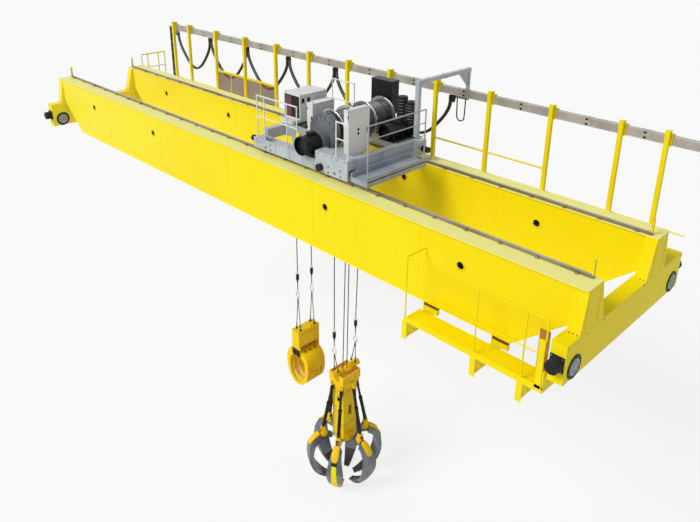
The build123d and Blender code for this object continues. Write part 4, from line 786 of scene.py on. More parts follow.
@dataclass
class Bridge:
    """Girders, rails and end carriages with their welds, bolts and wheels."""

    paint: Paintbox
    frame: dict
    webs: tuple[float, ...] = (-1.2, -0.86, 0.86, 1.2)
    ports: tuple[float, ...] = (1.83, 4.69, 10.37, 13.23)
    splices: tuple[float, ...] = (2.6, 5.0, 7.53, 10.06, 12.46)
    wheel_z: float = 0.17
    port_z: float = 0.805
    flange_z: float = 1.209
    low_z: float = -0.064
    wheel_y: tuple[float, float] = (-1.34, 1.74)

    def dress(self) -> None:
        """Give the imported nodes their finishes."""
        paint = self.paint
        paint.coat(self.frame, GIRDER_TOP_HIGHLIGHT, "front_girder", "rear_girder")
        paint.coat(self.frame, YELLOW, "left_end_carriage", "right_end_carriage")
        paint.coat(self.frame, RAIL, "crab_rails")
        paint.coat(self.frame, RUBBER, "carriage_buffers")
        paint.coat(self.frame, WHEEL, "front_bridge_wheels", "rear_bridge_wheels")

    def build_ports(self) -> None:
        """Bolt a flange ring round each port of the webs."""
        rings = Shape()
        bolts = Shape()
        for y in self.webs:
            out = -1 if y in (self.webs[0], self.webs[2]) else 1
            for x in self.ports:
                seat = (x, y + out * 0.006, self.port_z)
                rings.revolve([(0, 0.062), (0.004 * out, 0.063), (0.004 * out, 0.083), (0, 0.085)], seat,
                              Axis.Y.value, 32)
                bolts.bolt_circle(seat, Axis.Y, 0.0735, 8, out, 0.0065, 0.006)
        rings.finish("port_rings", self.paint.get(YELLOW), "bridge", "bridge_yellow")
        bolts.finish("port_bolts", self.paint.get(BOLT), "bridge", "bridge_yellow")

    def build_welds(self) -> None:
        """Lay the long fillet welds and the plate splices of the webs."""
        beads = Shape()
        for y in self.webs:
            out = -1 if y in (self.webs[0], self.webs[2]) else 1
            beads.bar((0.07, y, self.flange_z), (SPAN - 0.07, y, self.flange_z), 0.009, sides=8)
            beads.bar((0.905, y, self.low_z + 0.004), (SPAN - 0.905, y, self.low_z + 0.004), 0.006, sides=8)
            for x in self.splices:
                beads.bar((x, y + out * 0.0002, self.low_z), (x, y + out * 0.0002, self.flange_z), 0.0035, sides=6)
        beads.finish("girder_welds", self.paint.get(YELLOW), "bridge", "bridge_yellow")

    def build_rail_fixings(self) -> None:
        """Clip both crab rails to their flanges and polish the head that the wheels run on."""
        clips = Shape()
        bolts = Shape()
        heads = Shape()
        for y in (-0.89, 0.89):
            heads.block((0.05, y - 0.018, 1.2694), (SPAN - 0.05, y + 0.018, 1.2703))
            count = 26
            for i in range(count):
                x = 0.22 + i * (SPAN - 0.44) / (count - 1)
                for out in (-1, 1):
                    a = y + out * 0.025
                    b = y + out * 0.057
                    clips.block((x - 0.03, min(a, b), 1.225), (x + 0.03, max(a, b), 1.241), 0.003)
                    bolts.bolt((x, (a + b) / 2, 1.241), Axis.Z.value, 0.010, 0.010)
        clips.finish("rail_clips", self.paint.get(RAIL), "bridge", "rail_steel")
        bolts.finish("rail_clip_bolts", self.paint.get(BOLT), "bridge", "rail_steel")
        heads.finish("rail_heads", self.paint.get(RAIL_TOP), "bridge", "rail_steel")
        caps = Shape()
        for y in (-0.89, 0.89):
            for x0, x1, way in ((0.0, 0.030, 1), (15.03, 15.06, -1)):
                caps.block((x0 - 0.001, y - 0.023, 1.2705), (x1 + 0.001, y + 0.023, 1.4855), 0.004)
                face = x1 if way > 0 else x0
                caps.block((min(face, face + way * 0.016), y - 0.020, 1.42), (max(face, face + way * 0.016), y + 0.020,
                                                                           1.47), 0.004)
        caps.finish("rail_stop_covers", self.paint.get(YELLOW), "bridge", "bridge_yellow")

    def build_feet(self) -> None:
        """Bolt the girder feet to the carriages and line the end plates."""
        bolts = Shape()
        plates = Shape()
        for side in (-1, 1):
            for x0 in (-0.11, SPAN - 0.07):
                for x in (x0 + 0.035, x0 + 0.09, x0 + 0.145):
                    for y in (0.657, 1.305):
                        bolts.bolt((x, side * (y - 0.006 if y < 1 else y + 0.006), 0.602), Axis.Z.value, 0.009, 0.010)
            for x, out in ((-0.11, -1), (SPAN + 0.11, 1)):
                plates.block((min(x, x + out * 0.006), side * 0.855 - 0.012, 0.62),
                             (max(x, x + out * 0.006), side * 0.855 + 0.012, 1.19), 0.002)
                plates.block((min(x, x + out * 0.006), side * 1.18 - 0.012, 0.62),
                             (max(x, x + out * 0.006), side * 1.18 + 0.012, 1.19), 0.002)
            for x in (0.076, SPAN - 0.076):
                plates.bar((x, side * 0.86, 0.61), (x, side * 0.86, 1.205), 0.006, sides=8)
                plates.bar((x, side * 1.2, 0.61), (x, side * 1.2, 1.205), 0.006, sides=8)
        bolts.finish("foot_bolts", self.paint.get(BOLT), "bridge", "bridge_yellow")
        plates.finish("foot_edges", self.paint.get(YELLOW), "bridge", "bridge_yellow")

    def build_carriages(self) -> None:
        """Cover the bearings, cap the axles and fit buffer rims, edge welds and bolts to both carriages."""
        cover = Shape()
        dark = Shape()
        bolts = Shape()
        welds = Shape()
        for x in (0.0, SPAN):
            for number, y in enumerate(self.wheel_y):
                caps = Shape()
                for out in (-1, 1):
                    face = x + out * 0.122
                    seat = (face, y, self.wheel_z)
                    cover.revolve([(0.0, 0.050), (out * 0.004, 0.052), (out * 0.004, 0.088), (out * 0.010, 0.094),
                                   (out * 0.010, 0.108), (out * 0.004, 0.114), (out * 0.004, 0.1235), (0.0, 0.1245)],
                                  seat, Axis.X.value, 40)
                    bolts.bolt_circle((face + out * 0.004, y, self.wheel_z), Axis.X, 0.070, 8, out, 0.0075, 0.008)
                    dark.ring((x + out * 0.118, y, self.wheel_z), Axis.X.value, 0.166, 0.006, 40, 6)
                    dark.ring((x + out * 0.118, y, self.wheel_z), Axis.X.value, 0.137, 0.004, 40, 6)
                    for k in range(12):
                        angle = math.tau * (k + 0.5) / 12
                        spot = (x + out * 0.118, y + 0.151 * math.cos(angle), self.wheel_z + 0.151 * math.sin(angle))
                        bolts.bolt(spot, (out, 0, 0), 0.0065, 0.006)
                    end = x + out * 0.128
                    caps.revolve([(-out * 0.002, 0.044), (0.0, 0.040), (out * 0.003, 0.036), (out * 0.003, 0.0)],
                                 (end, y, self.wheel_z), Axis.X.value, 28)
                    caps.bolt_circle((end + out * 0.003, y, self.wheel_z), Axis.X, 0.022, 3, out, 0.006, 0.005)
                body = "front_runway_wheels" if number == 0 else "rear_runway_wheels"
                caps.finish(f"axle_caps_{'left' if x < 1 else 'right'}_{number + 1}", self.paint.get(WHEEL), body,
                            "wheel_steel")
            for out in (-1, 1):
                face = x + out * 0.11
                for y in (-1.56, -1.08, -0.62, 0.0, 0.62, 1.46, 1.96):
                    bolts.bolt((face, y, 0.55), (out, 0, 0), 0.008, 0.008)
                for z in (0.004, 0.586):
                    welds.bar((face - out * 0.002, -1.596, z), (face - out * 0.002, 1.996, z), 0.005, sides=8)
            for y, way in ((-1.62, -1), (2.02, 1)):
                for dx in (-0.078, 0.078):
                    for dz in (-0.095, 0.095):
                        bolts.bolt((x + dx, y, 0.3 + dz), (0, way, 0), 0.009, 0.010)
        cover.finish("bearing_covers", self.paint.get(DECK_GREY), "bridge", "wheel_steel")
        dark.finish("wheel_surrounds", self.paint.get(BLACK), "bridge", "buffer_black")
        bolts.finish("carriage_bolts", self.paint.get(BOLT), "bridge", "bridge_yellow")
        welds.finish("carriage_welds", self.paint.get(YELLOW), "bridge", "bridge_yellow")
        rims = Shape()
        for x in (0.0, SPAN):
            for y, out in ((-1.62, -1), (2.02, 1)):
                end = y + out * 0.13
                rims.ring((x, y + out * 0.012, 0.3), Axis.Y.value, 0.096, 0.008)
                rims.ring((x, y + out * 0.075, 0.3), Axis.Y.value, 0.094, 0.006)
                rims.revolve([(-out * 0.020, 0.093), (-out * 0.014, 0.098), (-out * 0.004, 0.098), (out * 0.001, 0.090),
                              (out * 0.001, 0.068), (-out * 0.001, 0.064)], (x, end, 0.3), Axis.Y.value, 36)
        rims.finish("buffer_rims", self.paint.get(RUBBER), "bridge", "buffer_black")

    def build(self) -> None:
        """Dress the nodes and make the pieces."""
        self.dress()
        self.build_ports()
        self.build_welds()
        self.build_rail_fixings()
        self.build_feet()
        self.build_carriages()


@dataclass
class Walkway:
    """Deck, posts, cable track and low platform."""

    paint: Paintbox
    frame: dict
    posts: tuple[float, ...] = (0.17, 0.98, 2.29, 3.59, 4.88, 6.12, 7.43, 8.70, 9.96, 11.24, 12.53, 13.80, 14.55)
    brackets: tuple[float, ...] = (12.5941, 13.849, 14.601)
    post_y: float = 2.23
    deck: float = 0.725

    def dress(self) -> None:
        """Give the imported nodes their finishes."""
        self.paint.coat(self.frame, YELLOW, "walkway", "walkway_posts", "walkway_rails", "service_platform",
                        "platform_rail")
        self.paint.coat(self.frame, TRACK, "cable_track")
        self.paint.coat(self.frame, PANEL, "guard_panels")
        self.paint.coat(self.frame, BLACK, "supply_riser")

    def build_deck(self) -> None:
        """Raise the tread studs of the deck and fix the edge channel."""
        studs = Shape()
        for i in range(98):
            x = 0.16 + i * 0.147
            for j in range(7):
                y = 1.30 + j * 0.145
                turn = Matrix.Rotation(math.radians(45 if (i + j) % 2 else -45), 3, "Z")
                studs.turned((-0.028, -0.006, 0.0), (0.028, 0.006, 0.0035), (x, y, self.deck), turn)
        studs.finish("deck_treads", self.paint.get(YELLOW), "bridge", "bridge_yellow")
        bolts = Shape()
        for i in range(29):
            bolts.bolt((0.1 + i * 0.5, 2.33, self.deck - 0.05), (0, 1, 0), 0.009, 0.009)
        bolts.finish("deck_edge_bolts", self.paint.get(BOLT), "bridge", "bridge_yellow")

    def build_posts(self) -> None:
        """Give each post a base plate, stiffeners, a cap and a clamp on the track."""
        metal = Shape()
        bolts = Shape()
        for x in self.posts:
            y = self.post_y
            metal.block((x - 0.065, y - 0.065, self.deck), (x + 0.065, y + 0.065, self.deck + 0.012), 0.002)
            for dx in (-0.05, 0.05):
                for dy in (-0.05, 0.05):
                    bolts.bolt((x + dx, y + dy, self.deck + 0.012), Axis.Z.value, 0.007, 0.008)
            metal.block((x - 0.04, y - 0.04, 2.384), (x + 0.04, y + 0.04, 2.3985), 0.004)
            metal.block((x - 0.062, 2.272, 2.135), (x + 0.062, 2.285, 2.315), 0.002)
            metal.block((x - 0.062, 2.375, 2.150), (x + 0.062, 2.384, 2.325), 0.002)
            metal.block((x - 0.062, 2.272, 2.3135), (x + 0.062, 2.384, 2.325), 0.002)
            for dx in (-0.045, 0.045):
                bolts.bolt((x + dx, 2.384, 2.30), (0, 1, 0), 0.008, 0.009)
                bolts.bolt((x + dx, 2.272, 2.30), (0, -1, 0), 0.008, 0.009)
        metal.finish("post_fittings", self.paint.get(YELLOW), "bridge", "bridge_yellow")
        bolts.finish("post_bolts", self.paint.get(BOLT), "bridge", "bridge_yellow")

    def build_track(self) -> None:
        """Add the joint sleeves, dark clips, end stops and lip of the cable track."""
        sleeves = Shape()
        dark = Shape()
        for a, b in zip(self.posts, self.posts[1:]):
            x = (a + b) / 2
            sleeves.block((x - 0.09, 2.2815, 2.2995), (x + 0.09, 2.3785, 2.3035), 0.001)
            for y, out in ((2.2815, -0.0045), (2.3785, 0.0050)):
                side = sorted((y, y - math.copysign(0.0040, out)))
                sleeves.block((x - 0.09, side[0], 2.155), (x + 0.09, side[1], 2.3035), 0.001)
                near, far = sorted((y - math.copysign(0.0020, out), y + out))
                for z in (2.185, 2.27):
                    dark.block((x - 0.022, near, z - 0.016), (x + 0.022, far, z + 0.016), 0.001)
        for y in (2.2845, 2.3755):
            for z in (2.157, 2.292):
                sleeves.bar((0.12, y, z), (15.04, y, z), 0.0045, sides=8)
        for x in (0.125, 15.035):
            dark.block((x - 0.006, 2.288, 2.160), (x + 0.006, 2.372, 2.292), 0.004)
        sleeves.finish("track_sleeves", self.paint.get(TRACK), "bridge", "track_grey")
        dark.finish("track_clips", self.paint.get(BLACK), "bridge", "motor_black")

    def build_guards(self) -> None:
        """Frame the tinted panels and fit the clamps of the thin rails."""
        metal = Shape()
        for a, b in ((2, 3), (3, 4)):
            x0 = self.posts[a] + 0.035
            x1 = self.posts[b] - 0.035
            for z0, z1 in ((0.727, 0.757), (1.285, 1.313)):
                metal.block((x0, 2.221, z0), (x1, 2.239, z1), 0.003)
            for x in (x0, x1 - 0.025, (x0 + x1) / 2 - 0.012):
                metal.block((x, 2.221, 0.74), (x + 0.025, 2.239, 1.30), 0.003)
        for x in self.posts[8:11]:
            metal.ring((x, 2.23, 1.2), Axis.Z.value, 0.036, 0.006, 16, 6)
        for y in (1.30, 1.49, 1.84, 2.05):
            metal.revolve([(0, 0.0), (0, 0.034), (0.010, 0.034), (0.014, 0.019)], (-0.17, y, self.deck),
                          Axis.Z.value, 16)
        metal.finish("guard_frames", self.paint.get(YELLOW), "bridge", "bridge_yellow")
        strap = Shape()
        for z in (0.9, 1.2, 1.5, 1.8, 2.08, 2.22):
            strap.block((0.010, 2.186, z), (0.110, 2.229, z + 0.02), 0.004)
        strap.block((-0.005, 2.180, 0.735), (0.125, 2.245, 0.80), 0.008)
        strap.finish("riser_straps", self.paint.get(WHEEL), "bridge", "track_grey")

    def build_platform(self) -> None:
        """Tread, toe boards and bracket bolts of the low platform."""
        metal = Shape()
        bolts = Shape()
        brown = Shape()
        for i in range(26):
            x = 12.63 + i * 0.087
            for j in range(4):
                turn = Matrix.Rotation(math.radians(45 if (i + j) % 2 else -45), 3, "Z")
                metal.turned((-0.024, -0.005, 0.0), (0.024, 0.005, 0.003), (x, -1.59 + j * 0.09, -0.18), turn)
        metal.block((12.58, -1.640, -0.18), (14.93, -1.634, -0.13), 0.001)
        for x in self.brackets:
            for y in (-1.55, -1.40, -1.0):
                for z in (-0.29, -0.48):
                    bolts.bolt((x + 0.007, y, z), Axis.X.value, 0.009, 0.009)
        # The hangers are coloured dark brown as painted shade between the girder and the platform.
        for x in self.brackets[:2]:
            brown.block((x - 0.007, -1.182, -0.135), (x + 0.261, -1.118, -0.066), 0.002)
        # The leg plate is coloured amber as painted shade.
        leg = Shape()
        leg.block((14.590, -1.2225, -0.226), (14.740, -1.2055, 0.418), 0.002)
        leg.finish("platform_leg", self.paint.get(SHADE_AMBER), "bridge", "bridge_yellow")
        for x in self.brackets:
            metal.revolve([(0, 0.0), (0, 0.028), (0.008, 0.028), (0.012, 0.013)], (x, -1.626, -0.18),
                          Axis.Z.value, 14)
        metal.finish("platform_treads", self.paint.get(YELLOW), "bridge", "bridge_yellow")
        bolts.finish("platform_bolts", self.paint.get(BOLT), "bridge", "bridge_yellow")
        brown.finish("platform_hangers", self.paint.get(SHADE_BROWN), "bridge", "bridge_yellow")

    def build_carriers(self) -> None:
        """Put clamps, rubber pads and roller caps on the cable carriers."""
        for number in range(7):
            x = 0.22 + number * 1.68
            pad = Shape()
            if number:
                self.paint.coat(self.frame, BLACK, f"cable_carrier_{number}")
            z = 2.045
            pad.block((x - 0.064, TRACK_Y - 0.038, z - 0.001), (x + 0.064, TRACK_Y + 0.038, z + 0.03), 0.005)
            for out in (-1, 1):
                pad.block((x + out * 0.038 - 0.020, TRACK_Y - 0.030, z - 0.050),
                          (x + out * 0.038 + 0.020, TRACK_Y + 0.030, z + 0.004), 0.006, 2)
                pad.bolt((x + out * 0.038, TRACK_Y - 0.030, z - 0.024), (0, -1, 0), 0.008, 0.008)
            body = f"carrier_{number}" if number else "bridge"
            pad.finish(f"carrier_clamp_{number + 1}", self.paint.get(BLACK), body, "motor_black")

    def build(self) -> None:
        """Dress the nodes and make the pieces."""
        self.dress()
        self.build_deck()
        self.build_posts()
        self.build_track()
        self.build_guards()
        self.build_platform()
        self.build_carriers()


@dataclass
class Crab:
    """Crab frame with its hoisting machinery, cabinets and guards."""

    paint: Paintbox
    frame: dict
    drum_x: float = 9.72
    drum_z: float = 1.90
    drums: tuple[tuple[float, float], ...] = ((-0.43, -0.04), (-0.016, 0.376), (0.40, 0.876))
    rims: tuple[float, ...] = (-0.454, -0.04, 0.376, 0.876)
    motor_y: tuple[float, float] = (-1.10, -0.8003)
    motor_z: float = 1.735

    def dress(self) -> None:
        """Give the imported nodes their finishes."""
        paint = self.paint
        paint.coat(self.frame, CRAB_GREY, "crab_frame", "tow_arm")
        paint.coat(self.frame, WHEEL, "left_crab_wheels", "right_crab_wheels", "guide_sheaves")
        paint.coat(self.frame, BLACK, "crab_drives", "crab_motors")
        paint.coat(self.frame, CASE, "hoist_gearcase")
        paint.coat(self.frame, DRUM, "hoist_drums", "small_winch")
        paint.coat(self.frame, WHITE_COAT, "crab_cabinets", "crab_hand_rails")
        paint.coat(self.frame, DECK_GREY, "step_platform")
        paint.coat(self.frame, ROPE, "rope_leads")

    def build_frame(self) -> None:
        """Add edge flats, stiffeners, deck treads and bolts to the crab frame."""
        metal = Shape()
        bolts = Shape()
        for y0, y1, side in ((-1.03, -0.79, -1), (0.79, 1.03, 1)):
            face = y0 if side < 0 else y1
            for x in (8.30, 8.85, 9.25, 9.60, 9.90):
                a, b = sorted((face, face + side * 0.008))
                metal.block((x - 0.006, a, 1.335), (x + 0.006, b, 1.515), 0.001)
            metal.bar((8.21, face, 1.52), (9.93, face, 1.52), 0.006, sides=8)
            metal.bar((8.21, face, 1.331), (10.73, face, 1.331), 0.006, sides=8)
            for x in (8.41, 8.71, 10.27, 10.57):
                for z in (1.37, 1.47):
                    bolts.bolt((x, face, z), (0, side, 0), 0.013, 0.012)
        for x0, x1 in ((8.22, 8.34), (9.04, 9.20), (10.56, 10.73)):
            metal.bar((x0, -0.80, 1.64), (x0, 0.80, 1.64), 0.005, sides=8)
            metal.bar((x1, -0.80, 1.64), (x1, 0.80, 1.64), 0.005, sides=8)
        for i in range(13):
            x = 9.28 + i * 0.098
            turn = Matrix.Rotation(math.radians(45 if i % 2 else -45), 3, "Z")
            for y in (-0.60, -0.55, -0.50):
                metal.turned((-0.022, -0.005, 0.0), (0.022, 0.005, 0.003), (x, y, 1.64), turn)
        for x in (10.02, 10.18, 10.34, 10.50, 10.66):
            for y in (-1.03,):
                bolts.bolt((x, y, 1.655), (0, -1, 0), 0.011, 0.010)
        for x, out in ((8.21, -1), (10.73, 1)):
            for y in (-0.985, -0.835, 0.835, 0.985):
                for z in (1.37, 1.48):
                    bolts.bolt((x, y, z), (out, 0, 0), 0.012, 0.011)
        for y in (-0.3475, 0.3475):
            for x in (8.36, 8.50, 8.80, 8.94):
                bolts.bolt((x, y, 1.69), Axis.Z.value, 0.010, 0.010)
        metal.finish("crab_frame_edges", self.paint.get(CRAB_GREY), "crab", "crab_grey")
        bolts.finish("crab_frame_bolts", self.paint.get(BOLT), "crab", "crab_grey")

    def motor(self, shape: Shape, start: Point, end: Point, radius: float, fins: int = 28, fan: bool = True) -> None:
        """Rib a motor along its barrel and give it end shields and a fan cover.

        Args:
            shape: Shape that the pieces join.
            start: Centre of the driven end.
            end: Centre of the fan end.
            radius: Radius of the barrel.
            fins: Number of cooling fins.
            fan: Whether the far end carries a fan cover.
        """
        a = Vector(start)
        b = Vector(end)
        way = (b - a).normalized()
        long = (b - a).length
        side = way.orthogonal().normalized()
        other = way.cross(side)
        for i in range(fins):
            angle = math.tau * i / fins
            out = side * math.cos(angle) + other * math.sin(angle)
            turn = Matrix((out, way.cross(out), way)).transposed()
            shape.turned((0.0, -0.0025, long * 0.14), (0.010, 0.0025, long * 0.72), a + out * (radius - 0.001), turn)
        shape.revolve([(0, 0), (0, radius), (long * 0.12, radius + 0.006), (long * 0.12, radius)], a, way, 36)
        if fan:
            shape.revolve([(0, radius), (0, radius + 0.008), (-long * 0.24, radius + 0.008),
                           (-long * 0.262, radius - 0.015), (-long * 0.262, radius * 0.35),
                           (-long * 0.255, 0.0)], b + way * long * 0.255, way, 36)
            for step in (0.45, 0.6, 0.75, 0.88):
                shape.ring(b - way * 0.002, way, radius * step, 0.004, 32, 6)

    def build_motors(self) -> None:
        """Finish the hoist motor, the drives, the small winch and the brake units."""
        shape = Shape()
        x, z = self.drum_x, self.motor_z
        self.motor(shape, (x, self.motor_y[1], z), (x, self.motor_y[0] + 0.004, z), 0.163)
        shape.block((x - 0.06, -0.99, z + 0.155), (x + 0.06, -0.87, z + 0.222), 0.008, 2)
        shape.bar((x - 0.06, -0.93, z + 0.190), (x - 0.095, -0.93, z + 0.190), 0.014, sides=12)
        shape.block((x - 0.14, -1.02, z - 0.168), (x + 0.14, -0.86, z - 0.146), 0.004)
        shape.finish("hoist_motor", self.paint.get(BLACK), "crab", "motor_black")
        shape = Shape()
        for y in (-0.93, 0.93):
            for x, out, reach in ((8.06, -1, 0.055), (10.79 if y < 0 else 10.88, 1, 0.055)):
                shape.ring((x - out * 0.010, y, 1.45), Axis.X.value, reach - 0.006, 0.009, 24, 8)
                shape.ring((x - out * 0.035, y, 1.45), Axis.X.value, reach, 0.005, 24, 8)
        shape.revolve([(0, 0.0), (0, 0.058), (0.004, 0.062), (0.012, 0.066), (0.02, 0.066)], (10.08, -1.104, 1.42),
                      Axis.Y.value, 28)
        shape.revolve([(0, 0.0), (0, 0.070), (-0.006, 0.088), (-0.03, 0.093), (-0.05, 0.093)], (10.14, 1.193, 1.51),
                      Axis.Y.value, 32)
        for i in range(20):
            angle = math.tau * i / 20
            out = Vector((math.cos(angle), 0, math.sin(angle)))
            turn = Matrix((out, Vector(Axis.Y.value), out.cross(Vector(Axis.Y.value)))).transposed()
            shape.turned((0.0, 0.02, -0.002), (0.007, 0.11, 0.002), Vector((10.14, 1.03, 1.51)) + out * 0.0895, turn)
        shape.finish("travel_drives", self.paint.get(BLACK), "crab", "motor_black")
        shape = Shape()
        bands = Shape()
        for x, radius, top in ((10.18, 0.095, 2.33), (10.39, 0.105, 2.27)):
            for k in range(9):
                bands.ring((x, 0.965, 1.80 + k * (top - 1.86) / 8), Axis.Z.value, radius, 0.006, 28, 6)
            shape.revolve([(0, radius + 0.001), (0.010, radius), (0.024, radius * 0.8), (0.030, radius * 0.5),
                           (0.032, 0.0)], (x, 0.965, top - 0.024), Axis.Z.value, 28)
            shape.bar((x, 0.965, top), (x, 0.965, top + 0.018), 0.022, sides=6)
            shape.block((x - radius * 0.6, 0.905, 1.70), (x + radius * 0.6, 1.025, 1.74), 0.005)
        shape.block((10.10, 0.886, 1.70), (10.48, 0.914, 1.86), 0.004)
        for x in (10.12, 10.22, 10.36, 10.46):
            shape.bolt((x, 0.905, 1.70), Axis.Z.value, 0.011, 0.011)
        shape.finish("brake_units", self.paint.get(BLACK), "crab", "motor_black")
        bands.finish("brake_bands", self.paint.get(CASE), "crab", "motor_black")
        shape = Shape()
        self.motor(shape, (10.31, 0.82, 1.80), (10.31, 0.42, 1.80), 0.135, 24)
        shape.bar((10.31, 0.42, 1.80), (10.31, 0.82, 1.80), 0.135, sides=32)
        shape.bar((10.31, 0.82, 1.80), (10.31, 0.875, 1.80), 0.165, sides=32, bevel=0.008)
        shape.block((10.23, 0.55, 1.91), (10.39, 0.70, 1.985), 0.010, 2)
        shape.block((10.14, 0.36, 1.622), (10.60, 0.86, 1.642), 0.003)
        for y in (0.46, 0.72):
            shape.block((10.18, y - 0.03, 1.642), (10.44, y + 0.03, 1.70), 0.006)
            for x in (10.20, 10.42):
                shape.bolt((x, y, 1.70), Axis.Z.value, 0.010, 0.010)
        shape.finish("rear_motor", self.paint.get(BLACK), "crab", "motor_black")
        shape = Shape()
        for side in (-1, 1):
            end = Vector((8.541, side * 0.33, 1.56))
            shape.revolve([(0, 0.0), (0.002, 0.06), (0.0, 0.1), (-0.012, 0.113), (-0.06, 0.113)], end,
                          (0, side, 0), 28)
            for k in range(16):
                angle = math.tau * k / 16
                out = Vector((math.cos(angle), 0, math.sin(angle)))
                shape.bar(end + out * 0.112 - Vector((0, side * 0.09, 0)), end + out * 0.112 - Vector((0, side * 0.19, 0)),
                          0.004, sides=6)
        shape.finish("small_winch_motors", self.paint.get(CASE), "crab", "drum_steel")
        wound = Shape()
        for y0, y1 in ((-0.13, -0.01), (0.01, 0.13)):
            outline = self.windings(y0, y1, 0.110, 0.011)
            wound.revolve(outline, (8.541, 0, 1.56), Axis.Y.value, 28)
        wound.finish("small_winch_rope", self.paint.get(ROPE), "crab", "rope_steel")

    def windings(self, start: float, end: float, core: float, rope: float) -> list[tuple[float, float]]:
        """Return the outline of rope turns laid side by side on a core."""
        count = max(1, int((end - start) / (2 * rope)))
        pitch = (end - start) / count
        outline = [(start, core - 0.004)]
        for i in range(count):
            for part, lift in ((0.08, 0.25), (0.28, 0.85), (0.5, 1.0), (0.72, 0.85), (0.92, 0.25)):
                outline.append((start + (i + part) * pitch, core + rope * lift))
        outline.append((end, core - 0.004))
        return outline

    def build_drums(self) -> None:
        """Wind rope on the hoist drums and polish their rims."""
        x, z = self.drum_x, self.drum_z
        wound = Shape()
        core = Shape()
        for (y0, y1), part in zip(self.drums, (0.62, 0.75, 0.68)):
            stop = y0 + (y1 - y0) * part
            wound.revolve(self.windings(y0 + 0.004, stop, 0.279, 0.009), (x, 0, z), Axis.Y.value, 48)
            core.revolve(self.windings(stop, y1 - 0.004, 0.2765, 0.005), (x, 0, z), Axis.Y.value, 48)
        wound.finish("drum_windings", self.paint.get(ROPE), "drums", "rope_steel")
        core.finish("drum_grooves", self.paint.get(DRUM), "drums", "drum_steel")
        rims = Shape()
        bolts = Shape()
        for number, y in enumerate(self.rims):
            rims.revolve([(-0.0008, 0.295), (-0.0008, 0.350), (0.001, 0.3525), (0.023, 0.3525), (0.0248, 0.350),
                          (0.0248, 0.295)], (x, y, z), Axis.Y.value, 64)
            out = -1 if number == 0 else 1
            seat = (x, y if number == 0 else y + 0.024, z)
            if number in (0, 3):
                bolts.bolt_circle(seat, Axis.Y, 0.20, 10, out, 0.012, 0.012)
        rims.finish("drum_rims", self.paint.get(BRIGHT), "drums", "drum_steel")
        bolts.finish("drum_bolts", self.paint.get(BOLT), "drums", "drum_steel")
        houses = Shape()
        for y0, y1 in ((-0.51, -0.46), (0.91, 0.96)):
            houses.bar((x, y0, z), (x, y1, z), 0.098, sides=32, bevel=0.006)
            houses.block((x - 0.15, y0, z - 0.105), (x + 0.15, y1, z - 0.06), 0.006)
            for dx in (-0.125, 0.125):
                houses.bolt((x + dx, (y0 + y1) / 2, z - 0.06), Axis.Z.value, 0.013, 0.014)
            houses.bar((x, (y0 + y1) / 2, z + 0.09), (x, (y0 + y1) / 2, z + 0.118), 0.010, sides=8)
        houses.finish("drum_bearings", self.paint.get(CASE), "crab", "drum_steel")

    def build_gearcase(self) -> None:
        """Add the joint flange, ribs, covers and bolts of the gear case."""
        x, z = self.drum_x, self.drum_z
        case = Shape()
        bolts = Shape()
        case.revolve([(-0.640, 0.300), (-0.6445, 0.304), (-0.6445, 0.334), (-0.636, 0.338), (-0.606, 0.338),
                      (-0.600, 0.331)], (x, 0, z), Axis.Y.value, 64)
        for k in range(20):
            angle = math.radians(-64 + 304 * k / 19)
            spot = Vector((x + 0.319 * math.cos(angle), -0.6445, z + 0.319 * math.sin(angle)))
            if spot.z > 1.70:
                bolts.bolt(spot, (0, -1, 0), 0.010, 0.010)
        for k in range(6):
            angle = math.radians(20 + 28 * k)
            out = Vector((math.cos(angle), 0, math.sin(angle)))
            turn = Matrix((out, Vector(Axis.Y.value), out.cross(Vector(Axis.Y.value)))).transposed()
            case.turned((0.19, -0.648, -0.006), (0.30, -0.638, 0.006), (x, 0, z), turn, 0.001)
        case.block((x - 0.09, -0.62, z + 0.318), (x + 0.09, -0.54, z + 0.338), 0.004)
        case.bar((x + 0.05, -0.58, z + 0.335), (x + 0.05, -0.58, z + 0.372), 0.012, sides=12, bevel=0.003)
        for dx in (-0.23, -0.17, 0.17, 0.23):
            bolts.bolt((x + dx, -0.635, 1.66), (0, -1, 0), 0.010, 0.010)
        bolts.bolt_circle((x, -0.80, self.motor_z), Axis.Y, 0.1775, 12, -1, 0.009, 0.009)
        case.finish("gear_case_ribs", self.paint.get(CASE), "crab", "drum_steel")
        bolts.finish("gear_case_bolts", self.paint.get(BOLT), "crab", "drum_steel")
        clamp = Shape()
        clamp.block((9.43, -1.018, 1.765), (9.515, -0.982, 1.875), 0.004)
        clamp.block((9.44, -1.03, 1.80), (9.50, -0.975, 1.84), 0.004)
        clamp.finish("rail_clamp", self.paint.get(YELLOW), "crab", "bridge_yellow")

    def door(self, shape: Shape, trim: Shape, low: Point, high: Point, axis: Axis, out: int) -> None:
        """Raise one cabinet door with a handle and two hinges on a flat face.

        Args:
            shape: Shape of the sheet metal.
            trim: Shape of the dark fittings.
            low: Lower corner of the door on the face.
            high: Upper corner of the door on the face.
            axis: Axis that the face looks along.
            out: Plus or minus one along that axis.
        """
        way = Vector(axis.value) * out
        across = Vector((abs(way.y), abs(way.x), 0))
        lift = way * 0.006
        a = Vector(low)
        b = Vector(high)
        shape.block([min(p, q) for p, q in zip(a, b + lift)], [max(p, q) for p, q in zip(a, b + lift)], 0.0025)
        wide = (b - a).dot(across)
        mid = a + across * wide * 0.9 + Vector((0, 0, (b.z - a.z) * 0.5)) + lift
        trim.block([min(p, q) for p, q in zip(mid - across * 0.009 - Vector((0, 0, 0.045)),
                                              mid + across * 0.009 + way * 0.016 + Vector((0, 0, 0.045)))],
                   [max(p, q) for p, q in zip(mid - across * 0.009 - Vector((0, 0, 0.045)),
                                              mid + across * 0.009 + way * 0.016 + Vector((0, 0, 0.045)))], 0.004)
        for part in (0.12, 0.88):
            foot = a + lift + Vector((0, 0, (b.z - a.z) * part - 0.025))
            trim.bar(foot, foot + Vector((0, 0, 0.05)), 0.007, sides=8)

